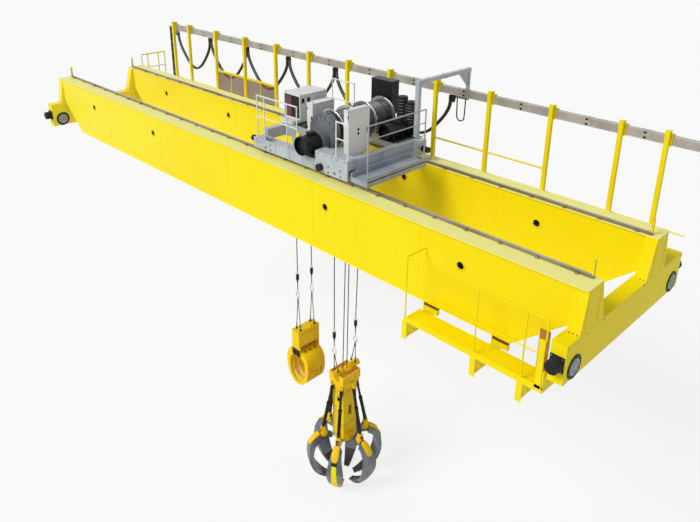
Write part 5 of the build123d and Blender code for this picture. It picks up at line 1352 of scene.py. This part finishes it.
    def louvres(self, shape: Shape, low: Point, high: Point, axis: Axis, out: int, count: int) -> None:
        """Add a field of sloping louvre blades to a flat face."""
        way = Vector(axis.value) * out
        across = Vector((abs(way.y), abs(way.x), 0))
        turn = Matrix((across, way, across.cross(way))).transposed()
        a = Vector(low)
        b = Vector(high)
        wide = (b - a).dot(across)
        for i in range(count):
            z = a.z + (b.z - a.z) * (i + 0.5) / count
            spot = Vector((a.x, a.y, z)) + across * wide / 2
            tilt = Matrix.Rotation(math.radians(34), 3, across)
            shape.turned((-wide / 2, -0.001, -0.001), (wide / 2, 0.011, 0.001), spot, tilt @ turn)

    def build_cabinets(self) -> None:
        """Give the cabinets doors, louvres, vents, plinths and eye bolts."""
        sheet = Shape()
        trim = Shape()
        for k in range(3):
            x0 = 8.145 + k * 0.151
            self.door(sheet, trim, (x0, 0.50, 1.78), (x0 + 0.142, 0.50, 2.21), Axis.Y, 1)
        for k in range(2):
            y0 = -0.185 + k * 0.34
            self.door(sheet, trim, (8.13, y0, 1.78), (8.13, y0 + 0.33, 2.21), Axis.X, -1)
        self.louvres(sheet, (8.60, -0.17, 1.79), (8.60, 0.15, 2.02), Axis.X, 1, 9)
        self.louvres(sheet, (8.60, 0.19, 1.79), (8.60, 0.47, 2.19), Axis.X, 1, 15)
        self.louvres(sheet, (9.19, -0.375, 1.72), (9.19, 0.115, 2.17), Axis.X, 1, 17)
        self.door(sheet, trim, (9.045, -0.40, 1.72), (9.175, -0.40, 2.18), Axis.Y, -1)
        self.door(sheet, trim, (10.49, -0.780, 1.66), (10.49, -0.270, 2.43), Axis.X, 1)
        self.louvres(sheet, (10.40, -0.72, 1.76), (10.40, -0.33, 2.05), Axis.X, -1, 11)
        for low, high in (((8.13, -0.20, 2.24), (8.60, 0.50, 2.247)), ((9.03, -0.40, 2.23), (9.19, 0.14, 2.237)),
                          ((10.40, -0.79, 2.45), (10.49, -0.26, 2.457))):
            sheet.block((low[0] - 0.008, low[1] - 0.008, low[2] - 0.012), (high[0] + 0.008, high[1] + 0.008, high[2]),
                        0.003)
            for x in (low[0] + 0.03, high[0] - 0.03):
                for y in (low[1] + 0.04, high[1] - 0.04):
                    trim.ring((x, y, high[2] + 0.010), Axis.X.value, 0.010, 0.003, 14, 6)
        sheet.finish("cabinet_doors", self.paint.get(WHITE_COAT), "crab", "cabinet_grey")
        dark = Shape()
        dark.block((8.15, -0.2045, 1.78), (8.58, -0.199, 2.21), 0.002)
        for y in (-0.12, 0.02):
            dark.block((8.599, y - 0.035, 2.08), (8.604, y + 0.035, 2.17), 0.001)
        for z in (1.99, 2.06):
            dark.block((10.495, -0.560, z), (10.4985, -0.515, z + 0.045), 0.001)
        dark.finish("cabinet_windows", self.paint.get(BLACK), "crab", "motor_black")
        trim.finish("cabinet_fittings", self.paint.get(BLACK), "crab", "motor_black")
        front = Shape()
        front.block((8.165, -0.208, 1.80), (8.355, -0.203, 2.19), 0.003)
        front.finish("cabinet_front", self.paint.get(MAROON), "crab", "cabinet_grey")
        box = Shape()
        fit = Shape()
        self.door(box, fit, (9.40, 0.965, 1.93), (9.625, 0.965, 2.51), Axis.Y, -1)
        self.door(box, fit, (9.645, 0.965, 1.93), (9.87, 0.965, 2.51), Axis.Y, -1)
        self.door(box, fit, (9.40, 1.165, 1.93), (9.625, 1.165, 2.51), Axis.Y, 1)
        self.door(box, fit, (9.645, 1.165, 1.93), (9.87, 1.165, 2.51), Axis.Y, 1)
        box.block((9.362, 0.957, 2.528), (9.908, 1.173, 2.548), 0.004)
        for k in range(6):
            x = 9.45 + k * 0.075
            fit.bar((x, 1.06, 1.902), (x, 1.06, 1.872), 0.014, sides=10)
        box.finish("control_box_doors", self.paint.get(BLACK), "crab", "motor_black")
        fit.finish("control_box_fittings", self.paint.get(RUBBER), "crab", "motor_black")

    def build_guards(self) -> None:
        """Fit rail feet, knuckles, kick plates and treads to the guards of the crab."""
        pale = Shape()
        for x in (8.27, 8.48, 9.12, 9.40):
            for z in (1.93, 2.33):
                pale.ball((x, -0.97, z), 0.0175)
            pale.revolve([(0, 0), (0, 0.03), (0.008, 0.03), (0.012, 0.014)], (x, -0.97, 1.52), Axis.Z.value, 16)
        for x in (10.40, 10.69):
            pale.ball((x, -0.97, 2.29), 0.0165)
            pale.ball((x, -0.97, 2.00), 0.0150)
            pale.revolve([(0, 0), (0, 0.03), (0.008, 0.03), (0.012, 0.014)], (x, -0.97, 1.69), Axis.Z.value, 16)
        for x in (8.27, 8.90):
            pale.revolve([(0, 0), (0, 0.03), (0.008, 0.03), (0.012, 0.014)], (x, 0.97, 1.52), Axis.Z.value, 16)
            pale.ball((x, 0.97, 2.33), 0.0175)
        pale.finish("hand_rail_fittings", self.paint.get(WHITE_COAT), "crab", "cabinet_grey")
        deck = Shape()
        for i in range(3):
            for j in range(17):
                turn = Matrix.Rotation(math.radians(45 if (i + j) % 2 else -45), 3, "Z")
                deck.turned((-0.028, -0.006, 0.0), (0.028, 0.006, 0.003), (10.82 + i * 0.11, -0.95 + j * 0.094, 1.42),
                            turn)
        deck.block((11.170, -1.02, 1.42), (11.180, 0.64, 1.50), 0.002)
        for y in (-1.0, -0.52, -0.04, 0.43):
            deck.revolve([(0, 0), (0, 0.03), (0.008, 0.03), (0.012, 0.015)], (11.165, y, 1.42), Axis.Z.value, 14)
        deck.finish("step_platform_treads", self.paint.get(DECK_GREY), "crab", "crab_grey")

    def build_tow_arm(self) -> None:
        """Gusset and bolt the arm that tows the cable carriers."""
        arm = Shape()
        bolts = Shape()
        arm.block((10.505, 0.885, 1.640), (10.615, 0.995, 1.655), 0.002)
        for dx in (-0.04, 0.04):
            for dy in (-0.04, 0.04):
                bolts.bolt((10.56 + dx, 0.94 + dy, 1.655), Axis.Z.value, 0.008, 0.009)
        turn = Matrix.Rotation(math.radians(45), 3, "X")
        arm.turned((-0.006, -0.11, -0.02), (0.006, 0.11, 0.02), (10.56, 1.02, 2.58), turn, 0.002)
        for y in (1.2, 1.7, 2.2):
            arm.block((10.515, y - 0.03, 2.625), (10.605, y + 0.03, 2.705), 0.003)
        bolts.bolt((10.56, 2.46, 2.70), Axis.Z.value, 0.012, 0.012)
        for z in (2.20, 2.40):
            bolts.bolt((10.59, 2.46, z), Axis.X.value, 0.010, 0.010)
        arm.finish("tow_arm_fittings", self.paint.get(CRAB_GREY), "crab", "crab_grey")
        bolts.finish("tow_arm_bolts", self.paint.get(BOLT), "crab", "crab_grey")

    def build(self) -> None:
        """Dress the nodes and make the pieces."""
        self.dress()
        self.build_frame()
        self.build_motors()
        self.build_drums()
        self.build_gearcase()
        self.build_cabinets()
        self.build_guards()
        self.build_tow_arm()


@dataclass
class Ropes:
    """Hoist ropes and the fittings that join them to the grabs."""

    paint: Paintbox
    frame: dict
    main_x: float = 9.67
    small_x: float = 8.42
    rope: float = 0.011

    def strand(self, shape: Shape, start: Point, end: Point, radius: float) -> None:
        """Lay one rope of six twisted strands as a long grooved bar.

        Args:
            shape: Shape that the rope joins.
            start: Upper end.
            end: Lower end.
            radius: Outer radius of the rope.
        """
        a = Vector(start)
        b = Vector(end)
        way = (b - a).normalized()
        turn = (b - a).to_track_quat("Z", "Y").to_matrix().to_4x4()
        steps = max(6, int((b - a).length / 0.05))
        made = bmesh.ops.create_circle(shape.mesh, cap_ends=True, segments=12, radius=radius,
                                       matrix=Matrix.Translation(a) @ turn)
        for k, vert in enumerate(sorted(made["verts"], key=lambda v: v.index)):
            if k % 2:
                vert.co = a + (vert.co - a) * 0.80
        edges = list({edge for vert in made["verts"] for edge in vert.link_edges})
        lift = (b - a) / steps
        spin = Matrix.Translation(a) @ Matrix.Rotation(math.radians(20), 4, way) @ Matrix.Translation(-a)
        for _ in range(steps):
            grown = bmesh.ops.extrude_edge_only(shape.mesh, edges=edges)["geom"]
            verts = [item for item in grown if isinstance(item, bmesh.types.BMVert)]
            edges = [item for item in grown if isinstance(item, bmesh.types.BMEdge)]
            bmesh.ops.transform(shape.mesh, matrix=Matrix.Translation(lift) @ spin, verts=verts)
        bmesh.ops.holes_fill(shape.mesh, edges=edges, sides=0)

    def falls(self) -> None:
        """Make the falls that stretch between the crab and the grabs."""
        x = self.main_x
        shape = Shape()
        for y, foot, low in ((-0.31, -0.31, -2.394), (0.44, 0.31, -2.394), (0.04, -0.06, -3.56), (0.13, 0.06, -3.56)):
            self.strand(shape, (x, y, 1.448), (x, foot, low), self.rope)
        piece = shape.finish("main_falls", self.paint.get(ROPE), "crab", "rope_steel")
        piece.parent = None
        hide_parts("main_hoist_ropes")
        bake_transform(piece)
        x = self.small_x
        shape = Shape()
        for y in (-0.2, 0.2):
            self.strand(shape, (x, y, 1.56), (x, y, -1.604), self.rope)
        piece = shape.finish("small_falls", self.paint.get(ROPE), "crab", "rope_steel")
        piece.parent = None
        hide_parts("small_hoist_ropes")
        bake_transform(piece)

    def end_set(self, prefix: str, x: float, y: float, top: float, ring: float, feet: Sequence[Point],
                body: str) -> list[bpy.types.Object]:
        """Make the socket, swivel, tail, ring and sling legs below one fall.

        Args:
            prefix: First word of the names.
            x: Place of the fall along the bridge.
            y: Place of the fall across the bridge.
            top: Middle height of the swivel.
            ring: Height of the ring.
            feet: Lower ends of the sling legs.
            body: Grab that carries them.

        Returns:
            The pieces.
        """
        eye = Shape()
        eye.revolve([(0.145, 0.0), (0.145, 0.0145), (0.10, 0.019), (0.072, 0.030), (0.066, 0.0)], (x, y, top),
                    Axis.Z.value, 24)
        eye.ring((x, y, top + 0.074), Axis.Y.value, 0.024, 0.009, 20, 8)
        swivel = Shape()
        swivel.revolve([(0.078, 0.0), (0.077, 0.024), (0.064, 0.035), (0.012, 0.035), (0.008, 0.029), (-0.008, 0.029),
                        (-0.012, 0.035), (-0.064, 0.035), (-0.076, 0.027), (-0.100, 0.018), (-0.143, 0.014),
                        (-0.145, 0.0)], (x, y, top), Axis.Z.value, 28)
        pale = Shape()
        pale.ring((x, y, ring), Axis.Y.value, 0.055, 0.011, 36, 12)
        pale.bar((x, y, ring + 0.052), (x, y, ring + 0.13), 0.015, 0.011, 12)
        legs = Shape()
        self.strand(legs, (x, y, top - 0.13), (x, y, ring + 0.060), self.rope)
        for foot in feet:
            self.strand(legs, (x, y, ring - 0.052), foot, 0.009)
            way = (Vector(foot) - Vector((x, y, ring - 0.052))).normalized()
            legs.bar(Vector(foot) - way * 0.14, Vector(foot) - way * 0.05, 0.0125, sides=12)
            spot = Vector((x, y, ring - 0.060))
            legs.bar(spot + way * 0.03, spot + way * 0.12, 0.0125, sides=12)
        made = [eye.finish(f"{prefix}_eye", self.paint.get(BRIGHT), body, "rope_steel"),
                swivel.finish(f"{prefix}_swivel", self.paint.get(BLACK), body, "motor_black"),
                pale.finish(f"{prefix}_ring", self.paint.get(BRIGHT), body, "rope_steel"),
                legs.finish(f"{prefix}_sling", self.paint.get(ROPE), body, "rope_steel")]
        return made

    def build(self) -> None:
        """Make the falls and their fittings."""
        self.falls()
        for side in (-1, 1):
            x, y = self.main_x, side * 0.31
            feet = [(x - 0.06, side * 0.25, -3.483), (x + 0.06, side * 0.25, -3.483)]
            made = self.end_set(f"main_{side + 2}", x, y, -2.54, -2.95, feet, "main_grab")
            if side < 0:
                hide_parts("main_rope_ends")
            x, y = self.small_x, side * 0.2
            feet = [(x - 0.07, y, -3.0789), (x + 0.07, y, -3.0789)]
            made = self.end_set(f"small_{side + 2}", x, y, -1.75, -2.20, feet, "small_grab")
            if side < 0:
                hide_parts("small_rope_ends")


@dataclass
class MainGrab:
    """Large grab with a hollow trunk, six struts and six curved tines."""

    paint: Paintbox
    frame: dict
    x: float = 9.67
    first_angle: float = 0.0
    outer: tuple[tuple[float, float], ...] = ((0.5600, -5.1500), (0.6601, -5.2106), (0.7376, -5.2981),
                                              (0.7871, -5.4042), (0.8117, -5.5189), (0.8170, -5.6360),
                                              (0.8073, -5.7530), (0.7830, -5.8678), (0.7430, -5.9780),
                                              (0.6868, -6.0810), (0.6152, -6.1739), (0.5312, -6.2557),
                                              (0.4369, -6.3256), (0.3344, -6.3826), (0.2250, -6.4250))
    half: tuple[float, ...] = (0.0750, 0.0842, 0.0998, 0.1218, 0.1452, 0.1630, 0.1700, 0.1671, 0.1568, 0.1421,
                               0.1237, 0.1035, 0.0828, 0.0632, 0.0470)
    crown: tuple[tuple[float, float], ...] = ((-1.0, -0.004), (-1.02, 0.006), (-0.7, 0.016), (-0.3, 0.023),
                                              (0.0, 0.025), (0.3, 0.023), (0.7, 0.016), (1.02, 0.006), (1.0, -0.004))

    def placed(self, number: int) -> Matrix:
        """Return the matrix that turns a piece drawn at angle zero to its tine."""
        angle = math.radians(self.first_angle + 60.0 * number)
        return Matrix.Translation((self.x, 0, 0)) @ Matrix.Rotation(angle, 4, "Z")

    def dress(self) -> None:
        """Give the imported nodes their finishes."""
        self.paint.coat(self.frame, GRAB_YELLOW, "grab_trunk")
        self.paint.coat(self.frame, BLACK, "grab_struts")
        self.paint.coat(self.frame, TINE, *(f"grab_tine_{i + 1}" for i in range(6)))

    def build_trunk(self) -> None:
        """Add seams, flanges, window frames and bolts to the head and trunk."""
        x = self.x
        metal = Shape()
        bolts = Shape()
        dark = Shape()
        for sx in (-1, 1):
            for sy in (-1, 1):
                metal.bar((x + sx * 0.163, sy * 0.188, -5.11), (x + sx * 0.163, sy * 0.188, -3.89), 0.006, sides=8)
        for z in (-3.762, -3.565):
            metal.block((x - 0.214, -0.264, z - 0.004), (x + 0.214, 0.264, z + 0.008), 0.003)
        for z in (-4.02, -4.86):
            metal.block((x - 0.171, -0.196, z - 0.02), (x + 0.171, 0.196, z + 0.02), 0.004)
        for sx in (-1, 1):
            face = x + sx * 0.165
            for low, high in (((-0.060, -4.655), (0.060, -4.640)), ((-0.060, -4.400), (0.060, -4.385)),
                              ((-0.060, -4.655), (-0.045, -4.385)), ((0.045, -4.655), (0.060, -4.385))):
                metal.block((min(face, face + sx * 0.006), low[0], low[1]),
                            (max(face, face + sx * 0.006), high[0], high[1]), 0.001)
            for z in (-3.62, -3.70):
                for y in (-0.22, -0.11, 0.11, 0.22):
                    bolts.bolt((x + sx * 0.21, y, z), (sx, 0, 0), 0.011, 0.010)
            for z in (-4.02, -4.86):
                for y in (-0.15, -0.05, 0.05, 0.15):
                    bolts.bolt((x + sx * 0.171, y, z), (sx, 0, 0), 0.009, 0.009)
        for sy in (-1, 1):
            for z in (-4.02, -4.86):
                for dx in (-0.12, 0.0, 0.12):
                    bolts.bolt((x + dx, sy * 0.196, z), (0, sy, 0), 0.009, 0.009)
            metal.revolve([(0, 0.0), (0, 0.078), (sy * 0.008, 0.078), (sy * 0.012, 0.060), (sy * 0.012, 0.0)],
                          (x, sy * 0.370, -3.54), Axis.Y.value, 32)
            metal.ring((x, sy * 0.250, -3.54), Axis.Y.value, 0.077, 0.006, 32, 6)
            for dx in (-0.06, 0.06):
                dark.ring((x + dx, sy * 0.25, -3.462), Axis.X.value, 0.024, 0.007, 20, 8)
            for k in range(5):
                dark.bar((x, sy * 0.1902, -4.95 - k * 0.03), (x, sy * 0.193, -4.95 - k * 0.03), 0.008, sides=10)
        metal.ring((x, 0, -3.90), Axis.Z.value, 0.228, 0.007, 40, 6)
        metal.ring((x, 0, -3.765), Axis.Z.value, 0.228, 0.007, 40, 6)
        metal.revolve([(-5.302, 0.0), (-5.302, 0.195), (-5.285, 0.221), (-5.13, 0.221), (-5.112, 0.205),
                       (-5.112, 0.17)], (x, 0, 0), Axis.Z.value, 44)
        metal.finish("grab_trunk_seams", self.paint.get(GRAB_YELLOW), "main_grab", "bridge_yellow")
        bolts.finish("grab_trunk_bolts", self.paint.get(BOLT), "main_grab", "bridge_yellow")
        dark.finish("grab_shackles", self.paint.get(BLACK), "main_grab", "motor_black")
        brown = Shape()
        pan = Shape()
        for sx in (-1, 1):
            a, b = sorted((x + sx * 0.086, x + sx * 0.196))
            pan.block((a, -0.245, -3.558), (b, 0.245, -3.5545), 0.001)
        pan.finish("grab_head_pan", self.paint.get(PRIMER), "main_grab", "bridge_yellow")
        # Each window is backed with a dark brown sheet: painted shade inside the hollow trunk.
        for sx in (-1, 1):
            inner = x + sx * 0.1495
            brown.block((min(inner, inner - sx * 0.003), -0.08, -4.68), (max(inner, inner - sx * 0.003), 0.08, -4.36))
        brown.finish("grab_window_backs", self.paint.get(SHADE_BROWN), "main_grab", "bridge_yellow")

    def build_struts(self) -> None:
        """Add the yellow lugs, pin caps and collars of the struts."""
        lugs = Shape()
        black = Shape()
        bolts = Shape()
        for number in range(6):
            lug = Shape()
            for side in (-1, 1):
                a, b = sorted((side * 0.0443, side * 0.052))
                lug.block((0.428, a, -5.195), (0.532, b, -5.02), 0.010)
                lug.revolve([(side * 0.052, 0.0), (side * 0.052, 0.043), (side * 0.064, 0.041), (side * 0.068, 0.030),
                             (side * 0.068, 0.0)], (0.48, 0, -5.14), Axis.Y.value, 24)
            lug.block((0.432, -0.047, -5.04), (0.528, 0.047, -4.976), 0.008)
            lug.block((0.305, -0.036, -3.895), (0.3085, 0.036, -3.765), 0.001)
            lug.move(self.placed(number))
            self.join(lugs, lug)
            rod = Shape()
            a = Vector((0.262, 0, -3.875))
            b = Vector((0.480, 0, -4.99))
            way = (b - a).normalized()
            rod.bar(a + way * 0.06, a + way * 0.17, 0.036, sides=20, bevel=0.004)
            rod.bar(b - way * 0.62, b - way * 0.05, 0.038, sides=20, bevel=0.004)
            rod.bar(b - way * 0.66, b - way * 0.60, 0.043, sides=20, bevel=0.004)
            rod.bar(b - way * 0.12, b - way * 0.06, 0.043, sides=20, bevel=0.004)
            rod.move(self.placed(number))
            self.join(black, rod)
            nut = Shape()
            for z in (-3.80, -3.86):
                nut.bolt((0.3085, 0.0, z), Axis.X.value, 0.010, 0.009)
            nut.move(self.placed(number))
            self.join(bolts, nut)
        lugs.finish("strut_lugs", self.paint.get(GRAB_YELLOW), "main_grab", "bridge_yellow")
        black.finish("strut_collars", self.paint.get(BLACK), "main_grab", "strut_black")
        bolts.finish("strut_bolts", self.paint.get(BOLT), "main_grab", "strut_black")

    def join(self, whole: Shape, part: Shape) -> None:
        """Copy one shape into another and free it."""
        data = bpy.data.meshes.new("part")
        bmesh.ops.recalc_face_normals(part.mesh, faces=part.mesh.faces)
        part.mesh.to_mesh(data)
        part.mesh.free()
        whole.mesh.from_mesh(data)
        bpy.data.meshes.remove(data)

    def build_tines(self) -> None:
        """Crown each tine and add its ribs, saddle and eye plates, and a spade to every second one."""
        for number in range(6):
            place = self.placed(number)
            body = f"tine_{number + 1}"
            shell = Shape()
            shell.sweep(self.outer[1:14], self.crown, self.half[1:14])
            for side in (-1, 1):
                for k in range(2, 13):
                    a = (self.outer[k][0] - 0.004, side * self.half[k] * 0.985, self.outer[k][1])
                    b = (self.outer[k + 1][0] - 0.004, side * self.half[k + 1] * 0.985, self.outer[k + 1][1])
                    shell.bar(a, b, 0.0085, sides=8)
                    shell.ball(b, 0.0085, 8)
            shell.move(place)
            shell.finish(f"tine_shell_{number + 1}", self.paint.get(TINE), body, "tine_steel")
            saddle = Shape()
            plate = ((-1.0, 0.002), (-1.0, 0.030), (-0.86, 0.036), (0.86, 0.036), (1.0, 0.030), (1.0, 0.002))
            top = [self.between(z)[:2] for z in (-5.152, -5.19, -5.24, -5.30, -5.36, -5.385)]
            saddle.sweep(top, plate, (0.058, 0.070, 0.076, 0.076, 0.060, 0.034))
            saddle.move(place)
            saddle.finish(f"tine_saddle_{number + 1}", self.paint.get(GRAB_YELLOW), body, "bridge_yellow")
            if number % 2:
                low = [self.between(z)[:2] for z in (-5.43, -5.54, -5.66, -5.78, -5.90, -6.00, -6.10, -6.20, -6.30)]
                spade = Shape()
                spade.sweep(low, plate, (0.050, 0.053, 0.057, 0.061, 0.066, 0.071, 0.076, 0.074, 0.062))
                spade.move(place)
                spade.finish(f"tine_spade_{number + 1}", self.paint.get(YELLOW), body, "bridge_yellow")
                band = Shape()
                flat = [(share * 1.04, high + 0.004) for share, high in plate]
                band.sweep([self.between(z)[:2] for z in (-5.40, -5.43, -5.46)], flat, (0.060, 0.060, 0.060))
                band.move(place)
                band.finish(f"tine_band_{number + 1}", self.paint.get(BLACK), body, "strut_black")
            plates = Shape()
            for side in (-1, 1):
                a, b = sorted((side * 0.0355, side * 0.0440))
                plates.revolve([(a, 0.034), (a, 0.088), (b, 0.088), (b, 0.034)], (0.48, 0, -5.14), Axis.Y.value, 36,
                               closed=True)
                plates.block((0.50, a, -5.22), (0.60, b, -5.12), 0.004)
            plates.move(place)
            plates.finish(f"tine_eye_{number + 1}", self.paint.get(GRAB_YELLOW), body, "bridge_yellow")

    def between(self, height: float) -> tuple[float, float, float]:
        """Return radius, height and half width of the outer curve at a height."""
        for (r0, z0), (r1, z1), w0, w1 in zip(self.outer, self.outer[1:], self.half, self.half[1:]):
            if z1 <= height <= z0:
                share = (z0 - height) / (z0 - z1)
                return (r0 + (r1 - r0) * share, height, w0 + (w1 - w0) * share)
        raise ValueError(f"no tine at {height}")

    def build(self) -> None:
        """Dress the nodes and make the pieces."""
        self.dress()
        self.build_trunk()
        self.build_struts()
        self.build_tines()


@dataclass
class SmallGrab:
    """Small grab with a drive box and two clawed jaws."""

    paint: Paintbox
    frame: dict
    x: float = 8.42
    pins: tuple[float, float] = (8.35, 8.49)
    axis_z: float = -3.66

    def build(self) -> None:
        """Dress the nodes and make the pieces."""
        x = self.x
        self.paint.coat(self.frame, GRAB_YELLOW, "small_grab_box", "small_jaw_left", "small_jaw_right")
        metal = Shape()
        bolts = Shape()
        dark = Shape()
        for z in (-3.080, -3.456):
            metal.block((x - 0.121, -0.306, z - 0.012), (x + 0.121, 0.306, z + 0.004), 0.004)
        for sx in (-1, 1):
            for y in (-0.294, 0.294):
                metal.bar((x + sx * 0.113, y, -3.45), (x + sx * 0.113, y, -3.09), 0.005, sides=8)
            metal.block((min(x + sx * 0.115, x + sx * 0.121), -0.20, -3.38),
                        (max(x + sx * 0.115, x + sx * 0.121), 0.20, -3.16), 0.003)
            for y in (-0.18, 0.0, 0.18):
                for z in (-3.365, -3.175):
                    bolts.bolt((x + sx * 0.121, y, z), (sx, 0, 0), 0.009, 0.009)
            for y in (-0.27, -0.09, 0.09, 0.27):
                bolts.bolt((x + sx * 0.10, y, -3.076), Axis.Z.value, 0.009, 0.009)
        for sy in (-1, 1):
            for dx in (-0.07, 0.07):
                dark.block((x + dx - 0.02, sy * 0.2 - 0.028, -3.0785), (x + dx + 0.02, sy * 0.2 + 0.028, -3.065), 0.004)
                dark.ring((x + dx, sy * 0.2, -3.055), Axis.Y.value, 0.020, 0.007, 18, 8)
            for px in self.pins:
                dark.revolve([(sy * 0.296, 0.0), (sy * 0.296, 0.040), (sy * 0.306, 0.038), (sy * 0.309, 0.028),
                              (sy * 0.309, 0.0)], (px, 0, self.axis_z), Axis.Y.value, 24)
            a, b = sorted((sy * 0.284, sy * 0.290))
            dark.block((x - 0.126, a, -3.715), (x + 0.126, b, -3.54), 0.006)
        metal.finish("small_box_panels", self.paint.get(GRAB_YELLOW), "small_grab", "bridge_yellow")
        bolts.finish("small_box_bolts", self.paint.get(BOLT), "small_grab", "bridge_yellow")
        dark.finish("small_box_hinges", self.paint.get(BLACK), "small_grab", "strut_black")
        for side, body in ((-1, "jaw_left"), (1, "jaw_right")):
            px = self.pins[0] if side < 0 else self.pins[1]
            hub = Shape()
            for i in range(4):
                y = -0.216 + i * 0.144
                for edge in (-0.041, 0.041):
                    hub.ring((px, y + edge, self.axis_z), Axis.Y.value, 0.052, 0.006, 28, 6)
            hub.finish(f"{body}_hub_rings", self.paint.get(BLACK), body, "strut_black")
            points = Shape()
            path = [(0.235, -0.60), (0.185, -0.69), (0.13, -0.745), (0.07, -0.80), (-0.055, -0.845)]
            for i in range(4):
                y = -0.216 + i * 0.144
                part = Shape()
                spade = [(-1.0, -0.070), (-1.0, 0.004), (1.0, 0.004), (1.0, -0.070)]
                part.sweep(path, spade, (0.0408, 0.0412, 0.0416, 0.0420, 0.0400))
                flip = Matrix.Diagonal((side, 1, 1, 1))
                part.move(Matrix.Translation((px, y, self.axis_z)) @ flip)
                bmesh.ops.recalc_face_normals(part.mesh, faces=part.mesh.faces)
                data = bpy.data.meshes.new("claw")
                part.mesh.to_mesh(data)
                part.mesh.free()
                points.mesh.from_mesh(data)
                bpy.data.meshes.remove(data)
            points.finish(f"{body}_points", self.paint.get(GRAB_YELLOW), body, "tine_steel")
            pad = Shape()
            curve = [(0.125, 0.038), (0.170, 0.002), (0.212, -0.030), (0.243, -0.095), (0.272, -0.160), (0.284, -0.270),
                     (0.287, -0.36)]
            pad.sweep(curve, ((-1.0, 0.0), (-1.0, 0.010), (-0.94, 0.016), (0.94, 0.016), (1.0, 0.010), (1.0, 0.0)),
                      (0.200, 0.240, 0.246, 0.246, 0.240, 0.200, 0.130))
            pad.move(Matrix.Translation((px, 0.0, self.axis_z)) @ Matrix.Diagonal((side, 1, 1, 1)))
            pad.finish(f"{body}_pad", self.paint.get(GRAB_YELLOW), body, "bridge_yellow")


def main() -> None:
    """Build the scene in order and report what was made."""
    logging.basicConfig(level=logging.INFO, format="%(message)s")
    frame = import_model()
    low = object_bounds()
    stage = Stage()
    stage.camera()
    paint = Paintbox()
    TrailingCables(paint).build()
    Bridge(paint, frame).build()
    Walkway(paint, frame).build()
    Crab(paint, frame).build()
    Ropes(paint, frame).build()
    MainGrab(paint, frame).build()
    SmallGrab(paint, frame).build()
    stage.build(low[0][2] - 0.002)


if __name__ == "__main__":
    main()
